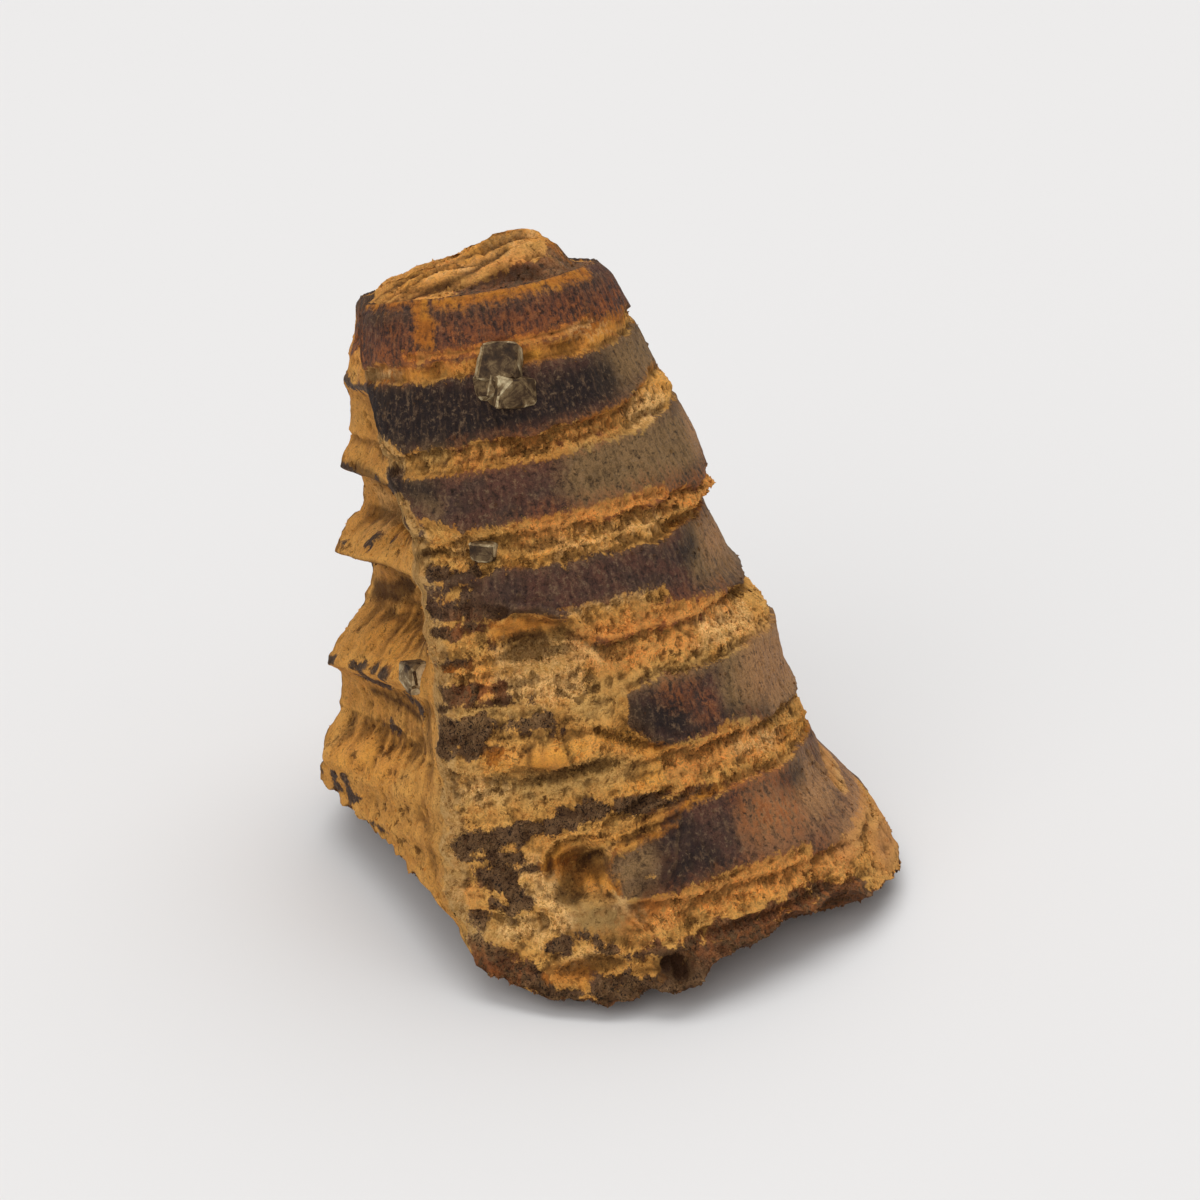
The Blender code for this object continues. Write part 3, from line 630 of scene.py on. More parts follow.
SHADE = (
    (0.2, (-4.8, 4.9), (-4.4, 6), (-2, 6.6)), (0.25, (2.2, 4.7), (6.6, 5.6)), (0.14, (-14, 26), (-6, 25.8)),
    (0.14, (-3, 26.4), (6, 26.2)), (0.15, (-1, 25.8), (2, 25.9)),
    (0.7, (-120, 21), (-104, 21.4), (-90, 22.2)), (0.15, (0, 3.3), (4, 3), (7, 2.8)),
    (0.4, (-3, 3.4), (-0.5, 3)), (0.14, (-12, 22), (-6, 22.1), (3, 22.2), (7, 21.4)),
    (0.4, (-6, 20.2), (2, 20)), (0.25, (8, 20.4), (14, 19.4), (18, 18.4)), (0.9, (13.5, -2.2), (17, -2.6)),
    (0.14, (8, 6.9), (14, 7.1), (20, 7.5), (26, 8)), (0.18, (24, 7.1), (12, 6.1)),
    (0.25, (-14, 11.5), (-4, 11.1), (6, 11.3), (16, 11.3)), (0.18, (-5, 13.4), (-5.5, 12)),
    (0.2, (3.5, 13.2), (4.5, 12)), (0.18, (11, 13.7), (16, 13), (22, 12.2)),
    (0.14, (-12, 14.1), (0, 14), (4, 14.3)), (0.14, (-13, 15.8), (-11.5, 14.9), (-15, 14)),
    (0.14, (-28, 16.4), (-6, 16.3)), (0.5, (-95, 31.2), (-80, 31.5), (-60, 31.3), (-42, 30.9)),
    (1, (-80, 24.2), (-60, 24.3), (-38, 24.2)), (1.1, (-60, 23), (-37, 22.6)), (0.14, (-58, 21.2)),
    (0.16, (-55, 20.6)), (0.14, (-52, 21)), (0.18, (-50, 20.2)), (0.14, (-47, 20.6)), (0.15, (-56, 19.8)),
    (0.14, (-61, 20.4)), (0.15, (-45, 19.6)), (0.16, (-64, 19.4)), (0.14, (-50, 19.2)), (0.13, (-75, 19.6)),
    (0.16, (-90, 13.2)), (0.14, (-86, 13)), (0.18, (-82, 12.9)), (0.14, (-84, 12.5)), (0.14, (-93, 12.7)),
    (0.15, (-79, 13.3)), (0.13, (-72, 19.9)), (0.2, (-66, 6.4), (-63, 6.6)), (0.2, (-54, 4.6), (-52, 4.7)),
    (0.3, (-90, 15.2), (-48, 14.4)), (0.3, (-64, 33.2), (-54, 32.8)), (0.2, (0, -1), (6, -1.5)),
    (0.6, (-34, 22), (-36, 20)), (0.2, (-30, 26.6), (-24, 26.7)), (0.2, (-20, 24.3), (-12, 24.3)),
    (0.12, (9, -1.5), (20, -1.5)),
)
TAN = (
    (1.5, (74, -1.2), (95, -1.2)), (1.2, (62, 0.8), (95, 2.4)), (1, (78, 4), (95, 5)),
    (2.4, (62, 13.6), (74, 13.2), (92, 12.8)), (1.7, (44, 4.9), (56, 4.5), (72, 4.4)),
    (1, (70, 22.6), (90, 22)), (0.9, (84, 30), (95, 29.6)),
)
COLOUR_STROKES = {
    "black": BLACK, "olive": OLIVE, "rust": RUST, "gold": GOLD, "pale": PALE, "shade": SHADE, "tan": TAN,
}
print("strokes of each colour:", {name: len(strokes) for name, strokes in COLOUR_STROKES.items()})

# %% [markdown]
# Besides the colours there are three shares. "coarse" says how crumbly the surface is, "broken"
# is 1 on the broken side, and "arris" is a narrow film along that side's near edge.

# %% Lay the films over the skin
TEAR_DEPTH, TEAR_SIZE = 0.75, 1.3
ARRIS_HALF_WIDTH, ARRIS_FROM_EDGE = 0.8, 1.5
COARSE_ON_BREAK, COARSE_WHERE_BARE, CALMED = 0.28, 0.8, 0.8
CUT_FADE, CRUST_GONE = 1.5, 3.0

torn = TEAR_DEPTH * lumps(place(facing, levels, cone_radius(levels)), TEAR_SIZE)
on_skin = {name: inside_strokes(strokes) for name, strokes in COLOUR_STROKES.items()}
near_edge, far_edge = broken_edges(levels)
on_break = smooth(-CUT_FADE, CUT_FADE, np.minimum(facing - far_edge, near_edge - facing))
by_rule = beyond_seams(facing, levels) + ragged - CRUST_GONE * (worn + on_break)
bare_strokes = inside_strokes(BARE)
on_skin["dark"] = np.maximum(np.minimum(by_rule, -bare_strokes), inside_strokes(DARK) + torn)
coarse = np.clip(worn + seam_share * (1 - worn), 0, 1) * (1 - on_break) + COARSE_ON_BREAK * on_break
right_foot = smooth(0.4, -0.6, levels) * smooth(80, 60, facing)
for bared in (right_foot, smooth(-0.1, 0.4, bare_strokes)):
    coarse = np.maximum(coarse, COARSE_WHERE_BARE * bared)
calm = smooth(-0.5, 0.5, np.maximum(on_skin["tan"], inside_strokes(SMOOTHED)))
on_skin["coarse"] = coarse * (1 - CALMED * calm)
on_skin["broken"] = on_break
from_edge = np.radians(facing - near_edge - ARRIS_FROM_EDGE) * cone_radius(levels)
on_skin["arris"] = ARRIS_HALF_WIDTH - np.abs(from_edge)
print("films:", {name: f"{(film > 0).mean():.0%}" for name, film in on_skin.items()})

# %% [markdown]
# ## One mesh for the whole stone
# A pile of rings becomes one closed mesh: every point of one ring is joined to the next ring
# by a quad, and each end closes on its middle point.

# %% A closed pile of rings


def store(mesh, name, values):
    """Stores one number, or one vector, for each point of a mesh."""
    values = np.asarray(values, np.float32)
    kind, field = ("FLOAT", "value") if values.ndim == 1 else ("FLOAT_VECTOR", "vector")
    mesh.attributes.new(name, kind, "POINT").data.foreach_set(field, values.ravel())


def closed_pile(name, rings, low_middle, high_middle):
    columns = len(rings[0])
    points = np.concatenate([np.concatenate(rings), [low_middle, high_middle]]) * MM
    low, high = len(points) - 2, len(points) - 1
    side = np.arange(columns)
    following = (side + 1) % columns
    faces = []
    for row in range(len(rings) - 1):
        lower, upper = row * columns, (row + 1) * columns
        faces.append(np.stack([lower + side, lower + following, upper + following, upper + side], -1))
    faces = np.concatenate(faces).tolist()
    last = (len(rings) - 1) * columns
    faces += [(low, int(following[i]), int(i)) for i in side]
    faces += [(high, int(last + i), int(last + following[i])) for i in side]
    mesh = bpy.data.meshes.new(name)
    mesh.from_pydata(points.tolist(), [], faces)
    mesh.shade_smooth()
    return mesh


below, above, columns = len(foot_rings), len(top_rings), len(skin[0])
stone_mesh = closed_pile("stone", foot_rings + list(skin) + top_rings, foot_middle, top_middle)
print("stone:", len(stone_mesh.vertices), "points,", len(stone_mesh.polygons), "faces")

# %% [markdown]
# The films ride along as attributes, one number for each point. Each film has one value over
# the whole foot and one over the top, where strokes laid flat are drawn over it.

# %% Films over both ends
TOP_FILMS = {
    "dark": -0.8, "black": -0.6, "olive": -1.0, "rust": -0.3, "gold": -0.7, "pale": -0.8,
    "shade": -1.0, "tan": -1.0, "arris": -1.0, "coarse": 0.6, "broken": 0.0,
}
FOOT_FILMS = dict(TOP_FILMS, dark=0.4, black=0.0, gold=-1.0, rust=-0.2)
ON_TOP = {  # strokes of (half width, (across, back)...) in millimetres
    "dark": (
        (0.9, (-6.2, -5.8), (-4.0, -7.6), (-2.6, -8.3)), (2.0, (1.2, -6.0), (4.0, -5.4), (6.4, -4.6)),
        (1.2, (-1.5, -7.0), (2.0, -6.6)), (1.5, (7.2, -3.8), (8.2, -1.5), (8.4, 1.5)),
        (1.3, (7.4, -2.0), (7.6, 3.0)),
    ),
    "olive": ((1.2, (7.4, -3.0), (7.8, 2.0)), (0.6, (3, -5.6), (6, -4.6))),
    "black": (
        (1.3, (1.0, -5.5), (3.6, -4.7)), (0.5, (1.8, -7.0), (4.4, -6.4)),
        (0.4, (-1.6, -6.6), (-0.4, -6.4)),
    ),
    "shade": (
        (0.45, (-1.6, -6.5), (-0.3, -6.4)), (0.25, (0.6, -4.4), (2.4, -3.6), (5.0, -3.6)),
        (0.3, (-5, -4.6), (-1, -3.6), (3, -1.8)), (0.25, (-6.6, -2.6), (-3, -1.6)),
        (0.16, (-3, -2.4), (1, -1.2), (4.5, -0.6)), (0.2, (-6, -3.6), (-2, -2.2), (3, -0.4)),
        (0.2, (-4.5, -1.6), (0, 0), (4, 1.2)), (0.15, (-6.4, -4.4), (-3, -3.0)),
    ),
    "gold": (
        (0.25, (-7.2, -4.6), (-4.6, -6.8), (-1.0, -8.2)),
        (0.55, (0.3, -8.9), (4.0, -8.0), (6.2, -6.3), (8.0, -4.2)), (0.8, (1.5, -8.6), (2.6, -8.3)),
        (0.9, (5.2, -6.9), (6.2, -6.1)), (1.7, (-4, -2.4), (2, -1.0), (6, 0.4)),
        (1.3, (1.5, 1.0), (5.5, 2.4)), (0.6, (-3, -5.6), (-1.6, -5.2)),
    ),
    "pale": ((0.1, (-2, -2.8), (1, -2.2), (5, -1.6)), (0.1, (2, -0.9), (5.4, -0.4))),
    "rust": ((0.6, (-6.5, -3.6), (-3.0, -4.4)), (0.5, (1.0, -3.0), (4.5, -3.0))),
}
GREATEST_FILM = 2.0

ends = np.concatenate(top_rings) - skin[-1].mean(axis=0)
across, back = ends @ RIGHT, ends @ BACK
for name, film in on_skin.items():
    on_top = inside_strokes(ON_TOP.get(name, ()), across, back, flat=True)
    on_top = np.maximum(on_top, TOP_FILMS[name])
    on_foot = np.full(below * columns, FOOT_FILMS[name])
    values = np.concatenate([on_foot, film.ravel(), on_top, [FOOT_FILMS[name], TOP_FILMS[name]]])
    store(stone_mesh, name, np.clip(values, -GREATEST_FILM, GREATEST_FILM))
print("films stored:", list(on_skin))

# %% [markdown]
# The attribute "ring" says where each point is on an even cylinder, so that a pattern can run
# straight up the stone or round it.

# %% Places on an even cylinder
EVEN_RADIUS = 15.0

turn = np.radians(directions)
on_side = np.stack([EVEN_RADIUS * np.sin(turn), -EVEN_RADIUS * np.cos(turn), levels], -1)
on_top = np.stack([across, np.zeros(len(ends)), APEX_LEVEL + back + ends @ UP], -1)
on_foot = np.tile(on_side[0], (below, 1))
on_foot[:, 2] -= np.repeat(np.arange(below)[::-1], columns)
on_side = on_side.reshape(-1, 3)
store(stone_mesh, "ring", np.concatenate([on_foot, on_side, on_top, [on_foot[0], on_top[-1]]]))
stone = in_scene("stone", stone_mesh)
print("places on the cylinder, mm:", on_side.min(0).round(1), on_side.max(0).round(1))

# %% [markdown]
# ## Node trees as sums
# Both the grain and the finishes are node trees. To keep them readable, a `Wire` wraps one
# output of a node, and plain arithmetic on wires adds the Math nodes. Patterns that are used
# again and again have a method each. Every other node comes from one method, `node`.

# %% A wire that can be added and multiplied


class Wire:
    """One output socket of a node tree. Arithmetic on it, from either side, adds Math nodes."""

    def __init__(self, tree, socket=None):
        self.tree, self.socket = tree, socket

    def node(self, kind, settings=None, inputs=None, output=0):
        """Adds a node, sets it up, feeds its inputs, and gives back one of its outputs."""
        made = self.tree.nodes.new(kind)
        for key, value in (settings or {}).items():
            setattr(made, key, value)
        for key, value in (inputs or {}).items():
            if isinstance(value, Wire):
                self.tree.links.new(value.socket, made.inputs[key])
            else:
                made.inputs[key].default_value = value
        return Wire(self.tree, made.outputs[output] if len(made.outputs) else None)

    def also(self, output):
        """Another output of the same node."""
        return Wire(self.tree, self.socket.node.outputs[output])

    def maths(self, operation, *values):
        return self.node("ShaderNodeMath", {"operation": operation}, dict(enumerate(values)))

    def clamped(self):
        return self.node("ShaderNodeClamp", {}, {0: self})

    def between(self, low, high):
        """0 at low, 1 at high, and a straight run between them; high may be the smaller one."""
        return ((self - low) / (high - low)).clamped()

    def line(self, middle, sharpness):
        """1 along the line where the value crosses its middle, and 0 away from it."""
        return 1 - ((self - middle) * sharpness).maths("ABSOLUTE").clamped()

    def vector(self, operation, inputs):
        return self.node("ShaderNodeVectorMath", {"operation": operation}, inputs)

    def scaled(self, by):
        return self.vector("SCALE", {0: self, "Scale": by})

    def stretched(self, x, y, z):
        return self.vector("MULTIPLY", {0: self, 1: (x, y, z)})

    def swayed(self, by, reach):
        """A place moved by three values at once, so that the pattern drawn there bends."""
        return self.vector("MULTIPLY_ADD", {0: by, 1: (reach, reach, reach), 2: self})

    def speckle(self, scale, detail=3.0, roughness=0.6, distortion=0.0):
        """Cloudy noise at a place."""
        return self.node("ShaderNodeTexNoise", {}, {
            "Vector": self, "Scale": scale, "Detail": detail, "Roughness": roughness,
            "Distortion": distortion})

    def from_dots(self, scale):
        """How far a place is from the nearest of many scattered dots."""
        return self.node("ShaderNodeTexVoronoi", {"feature": "F1"}, {"Vector": self, "Scale": scale})


OPERATORS = {"add": "ADD", "sub": "SUBTRACT", "mul": "MULTIPLY", "truediv": "DIVIDE", "pow": "POWER"}
for name, operation in OPERATORS.items():
    setattr(Wire, f"__{name}__", lambda left, right, kind=operation: left.maths(kind, left, right))
    setattr(Wire, f"__r{name}__", lambda right, left, kind=operation: right.maths(kind, left, right))
print("a wire can", [name for name in dir(Wire) if not name.startswith("_")])

# %% [markdown]
# ## Running a geometry tree
# A tree gets its inputs by name, ends with real faces and one material, and is run on an
# object to give a plain mesh. On the broken face both the grain and the finish are drawn out
# from front to back.

# %% Geometry trees
POINT_MM = 1 / MM
DRAWN_OUT, DRAWN_FROM = -0.35, -14.0


def geometry_tree(name, sockets):
    """Starts a tree with a mesh in, a mesh out, and the named inputs asked for."""
    tree = bpy.data.node_groups.new(name, "GeometryNodeTree")
    tree.interface.new_socket("Geometry", in_out="INPUT", socket_type="NodeSocketGeometry")
    for label, kind, value in sockets:
        made = tree.interface.new_socket(label, in_out="INPUT", socket_type=f"NodeSocket{kind}")
        if value is not None:
            made.default_value = value
    tree.interface.new_socket("Geometry", in_out="OUTPUT", socket_type="NodeSocketGeometry")
    return Wire(tree).node("NodeGroupInput")


def end_tree(given, geometry):
    """Ends a tree with real faces in the material asked for."""
    real = given.node("GeometryNodeRealizeInstances", {}, {"Geometry": geometry})
    material = given.also("Material")
    finished = given.node("GeometryNodeSetMaterial", {}, {"Geometry": real, "Material": material})
    given.node("NodeGroupOutput", {}, {"Geometry": finished})
    return given.tree


def named(given, name, kind="FLOAT"):
    """An attribute of the mesh that a tree was given."""
    return given.node("GeometryNodeInputNamedAttribute", {"data_type": kind}, {"Name": name})


def with_attribute(given, geometry, domain, name, value):
    return given.node("GeometryNodeStoreNamedAttribute", {"data_type": "FLOAT", "domain": domain},
                      {"Geometry": geometry, "Name": name, "Value": value})


def drawn_out(spot, broken):
    """The place, squeezed from front to back on the broken face, which draws its pattern out."""
    front = spot.node("ShaderNodeSeparateXYZ", {}, {0: spot}, output=1)
    shift = spot.node("ShaderNodeCombineXYZ", {}, {1: (front - DRAWN_FROM) * broken * DRAWN_OUT})
    return spot.vector("ADD", {0: spot, 1: shift})


def grown(source, tree, values, name):
    """Runs a tree on an object and gives back its result as a plain mesh object."""
    modifier = source.modifiers.new(tree.name, "NODES")
    modifier.node_group = tree
    sockets = {item.name: item.identifier for item in tree.interface.items_tree if item.in_out == "INPUT"}
    for label, value in values.items():
        modifier[sockets[label]] = value
    source.update_tag()
    graph = bpy.context.evaluated_depsgraph_get()
    seen = source.evaluated_get(graph)
    mesh = bpy.data.meshes.new_from_object(seen, preserve_all_data_layers=True, depsgraph=graph)
    source.modifiers.remove(modifier)
    mesh.name = name
    return in_scene(name, mesh)


def points_of(mesh):
    """The places of a mesh's points, in metres, one row each."""
    spots = np.zeros(len(mesh.vertices) * 3, np.float32)
    mesh.vertices.foreach_get("co", spots)
    return spots.reshape(-1, 3)


def keep_above_ground(mesh):
    """No grain may reach below the ground that the stone stands on."""
    spots = points_of(mesh)
    spots[:, 2] = np.maximum(spots[:, 2], 0.0)
    mesh.vertices.foreach_set("co", spots.ravel())
    mesh.update()


print("trees measure in mm: one metre is", POINT_MM)

# %% [markdown]
# ## The grain of the stone
# The filling is made of small grains and crumbs, with pits where some fell out. They repeat
# all over and only change in depth, so a Geometry Nodes tree raises them. Worm-like ridges
# are the grains, slower noise the crumbs, and thin veins stand between them. Strands and
# stepped flakes run round the unbroken side, and a faint upright weave covers the crusts.
# The film "coarse" says how strongly, so that crusts stay nearly smooth. What the pits take
# away is kept as "pit", which the finish darkens as painted shade.

# %% The tree that raises the grain
GRAIN_INPUTS = (
    ("Grain size", "Float", 0.75), ("Grain depth", "Float", 0.3), ("Crumb size", "Float", 1.2),
    ("Crumb depth", "Float", 0.5), ("Vein height", "Float", 0.16), ("Pit depth", "Float", 0.22),
    ("Strand depth", "Float", 0.5), ("Flake depth", "Float", 0.8), ("Crust depth", "Float", 0.17),
    ("Material", "Material", None),
)
FLAKE_STEPS, FLAKE_MIDDLE = 16.0, 7.7
PITS_ON_BREAK, PITS_SEEN_ON_BREAK = 0.1, 0.6


def grain_tree():
    given = geometry_tree("raise_grain", GRAIN_INPUTS)
    coarse, broken = named(given, "coarse").clamped(), named(given, "broken").clamped()
    unbroken = 1 - broken
    spot = drawn_out(given.node("GeometryNodeInputPosition").scaled(POINT_MM), broken)
    bent = spot.swayed(spot.speckle(1.1, 3.0, 0.5).also("Color"), 1.3)
    grains = bent.speckle(1 / given.also("Grain size"), 2.0, 0.5).line(0.5, 7.0) - 0.5
    crumbs = bent.speckle(1 / given.also("Crumb size"), 6.0, 0.75)
    sunk = bent.from_dots(0.75).between(0.34, 0.16)

    ring = named(given, "ring", "FLOAT_VECTOR")
    upright, level = ring.stretched(2.0, 2.0, 0.5), ring.stretched(0.35, 0.35, 1.7)
    weave = (upright.speckle(1.0, 4.0, 0.7) - 0.5) * unbroken + (spot.speckle(1.1, 5.0, 0.65) - 0.5) * broken
    strand = level.speckle(1.0, 3.0, 0.6) - 0.5
    layers = level.speckle(0.42, 4.0, 0.6) * FLAKE_STEPS
    flakes = (layers.maths("FLOOR") + layers.maths("FRACT").between(0.72, 1.0) - FLAKE_MIDDLE) / FLAKE_STEPS

    height = grains * given.also("Grain depth") + (crumbs - 0.5) * 2.2 * given.also("Crumb depth")
    height = height + crumbs.line(0.5, 9.0) * given.also("Vein height") - sunk * given.also("Pit depth")
    height = height + (strand * given.also("Strand depth") + flakes * given.also("Flake depth")) * unbroken
    height = height * coarse - sunk * broken * PITS_ON_BREAK
    height = height + weave * given.also("Crust depth") * (2.0 - coarse) * (1 - broken * 0.4)
    push = given.node("GeometryNodeInputNormal").scaled(height * MM)
    moved = given.node("GeometryNodeSetPosition", {}, {"Geometry": given.also("Geometry"), "Offset": push})
    pit = sunk * (coarse + broken * PITS_SEEN_ON_BREAK).clamped()
    return end_tree(given, with_attribute(given, moved, "POINT", "pit", pit))


stone_finish = bpy.data.materials.new("ironstone")
stone_body = grown(stone, grain_tree(), {"Material": stone_finish}, "stone_body")
bpy.data.objects.remove(stone)
keep_above_ground(stone_body.data)
pits = np.zeros(len(stone_body.data.vertices), np.float32)
stone_body.data.attributes["pit"].data.foreach_get("value", pits)
print("points in pits:", int((pits > 0.3).sum()), "of", len(pits))

# %% [markdown]
# The finish paints shade into hollows and paints highlights on crests, so each point keeps how
# far it stands out of its surroundings, over a near, a middle and a wide reach.

# %% Note the relief
REACHES = (("fine", 2, 0.07), ("middle", 5, 0.16), ("wide", 14, 0.5))  # name, points, full height

ring_count = below + ROWS + above
points = points_of(stone_body.data)[:-2].reshape(ring_count, columns, 3) / MM
downward, upward = np.tile((0.0, 0.0, -1.0), (below, columns, 1)), np.tile(UP, (above, columns, 1))
away = np.concatenate([downward, outward, upward])
for name, reach, full in REACHES:
    steps = 2 * reach + 1
    mean = sum(np.roll(points, step, 1) for step in range(-reach, reach + 1)) / steps
    padded = np.concatenate([mean[:1]] * reach + [mean] + [mean[-1:]] * reach)
    mean = sum(padded[i:i + ring_count] for i in range(steps)) / steps
    stands = np.clip(((points - mean) * away).sum(-1) / full, -1, 1).ravel()
    store(stone_body.data, name, np.append(stands, (0, 0)))
print("relief kept over reaches of", [reach for _, reach, _ in REACHES], "points")

# %% [markdown]
# ## Loose grains
# Where the crust is gone, single grains sit on the surface and catch the light. They are
# scattered by a second tree: one eight-sided grain is set down some thousands of times with
# its own turn and size. The grains inherit the films of the spot that they lie on, so that
# they take the same finish.

# %% A faceted grain
GRAIN_SEED = 7
GRAIN_CORNERS = ((1.5, 0, 0), (-1.5, 0, 0), (0, 1, 0), (0, -1, 0), (0, 0, 0.9), (0, 0, -0.9))
ROUND_THE_GRAIN = ((0, 2), (2, 1), (1, 3), (3, 0))
ABOVE_GRAIN, BELOW_GRAIN = 4, 5


def mesh_from(form, name):
    """Turns a form into a mesh and lets the form go."""
    mesh = bpy.data.meshes.new(name)
    form.to_mesh(mesh)
    form.free()
    return mesh


chance = np.random.default_rng(GRAIN_SEED)
grain_form = bmesh.new()
corners = [grain_form.verts.new(Vector(spot) * (0.6 + 0.7 * chance.random())) for spot in GRAIN_CORNERS]
for start, end in ROUND_THE_GRAIN:
    grain_form.faces.new([corners[start], corners[end], corners[ABOVE_GRAIN]])
    grain_form.faces.new([corners[end], corners[start], corners[BELOW_GRAIN]])
grain_mesh = mesh_from(grain_form, "grain")
grain = bpy.data.objects.new("grain", grain_mesh)
print("one grain has", len(grain_mesh.polygons), "faces")

# %% [markdown]
# Grains are denser where the surface is coarse, lie in clumps, and thin out towards the back.

# %% The tree that scatters grains
SCATTER_INPUTS = (
    ("Grain", "Object", None), ("Per square mm", "Float", 40.0), ("Least size", "Float", 0.04),
    ("Greatest size", "Float", 0.16), ("Seed", "Int", 11), ("Material", "Material", None),
)
TURN_SEED, SIZE_SEED, TINT_SEED = 3, 4, 5


def scatter_tree():
    given = geometry_tree("scatter_grains", SCATTER_INPUTS)

    def drawn(low, high, seed):
        """A number drawn for each grain."""
        return given.node("FunctionNodeRandomValue", {"data_type": "FLOAT"},
                          {2: low, 3: high, "Seed": seed}, output=1)

    position = given.node("GeometryNodeInputPosition")
    front = given.node("ShaderNodeSeparateXYZ", {}, {0: position}, output=1)
    seen_more = 1 - 0.85 * (front * POINT_MM).between(-4.0, 5.0)
    clump = position.speckle(700.0, 2.0, 0.5).between(0.42, 0.62)
    likely = (named(given, "coarse") - 0.15).clamped() * clump + 0.02
    likely = likely * seen_more * (1 - 0.6 * named(given, "broken"))
    density = likely * given.also("Per square mm") * (POINT_MM * POINT_MM)
    points = given.node("GeometryNodeDistributePointsOnFaces", {"distribute_method": "RANDOM"},
                        {"Mesh": given.also("Geometry"), "Density": density, "Seed": given.also("Seed")})
    body = given.node("GeometryNodeObjectInfo", {}, {"Object": given.also("Grain")}, output="Geometry")
    turn = given.node("FunctionNodeRandomValue", {"data_type": "FLOAT_VECTOR"},
                      {"Min": (0, 0, 0), "Max": (math.tau, math.tau, math.tau), "Seed": TURN_SEED})
    least, greatest = given.also("Least size"), given.also("Greatest size")
    size = least + (greatest - least) * drawn(0.0, 1.0, SIZE_SEED) ** 1.8
    set_down = given.node("GeometryNodeInstanceOnPoints", {},
                          {"Points": points, "Instance": body, "Rotation": turn, "Scale": size * MM})
    return end_tree(given, with_attribute(given, set_down, "INSTANCE", "tint", drawn(-1.0, 1.0, TINT_SEED)))


loose_grains = grown(stone_body, scatter_tree(), {"Grain": grain, "Material": stone_finish}, "loose_grains")
bpy.data.objects.remove(grain)
keep_above_ground(loose_grains.data)
print("loose grains:", len(loose_grains.data.polygons), "faces")

# %% [markdown]
# ## Mixing colours
# A finish lays colours one over another, each as strongly as a pattern says. Every finish
# starts as an empty tree and ends in one plain surface with a fine bump.

# %% Colours and layers
WARM_LIGHT = (0.31, 0.17, 0.045, 1.0)


def srgb(red, green, blue):
    """A colour as a paint chart names it, turned into the straight light that shaders use."""
    def straight(value):
        share = value / 255
        return share / 12.92 if share <= 0.04045 else ((share + 0.055) / 1.055) ** 2.4
    return (straight(red), straight(green), straight(blue), 1.0)


def mixed(factor, under, over, blend="MIX"):
    """Two colours mixed. At least one of the three values is a wire."""
    wire = next(value for value in (factor, under, over) if isinstance(value, Wire))
    return wire.node("ShaderNodeMix", {"data_type": "RGBA", "blend_type": blend, "clamp_factor": True},
                     {0: factor, 6: under, 7: over}, output=2)


def layered(colour, *layers):
    """A colour with others laid over it in turn, each a pair of factor and colour."""
    for factor, over in layers:
        colour = mixed(factor, colour, over)
    return colour


def lifted(colour, amount):
    """The same colour with a warm light added."""
    return mixed(amount, colour, WARM_LIGHT, "ADD")


def empty_finish(material):
    material.use_nodes = True
    material.node_tree.nodes.clear()
    return Wire(material.node_tree)


def attribute(start, name, output="Fac"):
    """An attribute of the mesh that a finish is on."""
    return start.node("ShaderNodeAttribute", {"attribute_name": name}, {}, output)


def own_place(start):
    """Where a point is on its own object, in millimetres."""
    return start.node("ShaderNodeTexCoord", {}, {}, output="Object").scaled(POINT_MM)


def end_finish(start, colour, roughness, specular, bump):
    """Ends a finish. The bump is a height, a strength and a distance."""
    height, strength, distance = bump
    normal = start.node("ShaderNodeBump", {}, {"Height": height, "Strength": strength, "Distance": distance})
    shader = start.node("ShaderNodeBsdfPrincipled", {}, {
        "Base Color": colour, "Roughness": roughness, "Normal": normal, "Specular IOR Level": specular})
    start.node("ShaderNodeOutputMaterial", {}, {"Surface": shader})


print("warm light, as straight light:", WARM_LIGHT[:3])

# %% [markdown]
# ## The patterns of the stone's finish
# Noise gives grain, blotch, streaks and strands. Where a warped noise crosses its middle it
# gives threads, and where it is far from it, holes. Each film's distance is torn with the
# same noise and cut to a mask.

# %% Patterns and masks


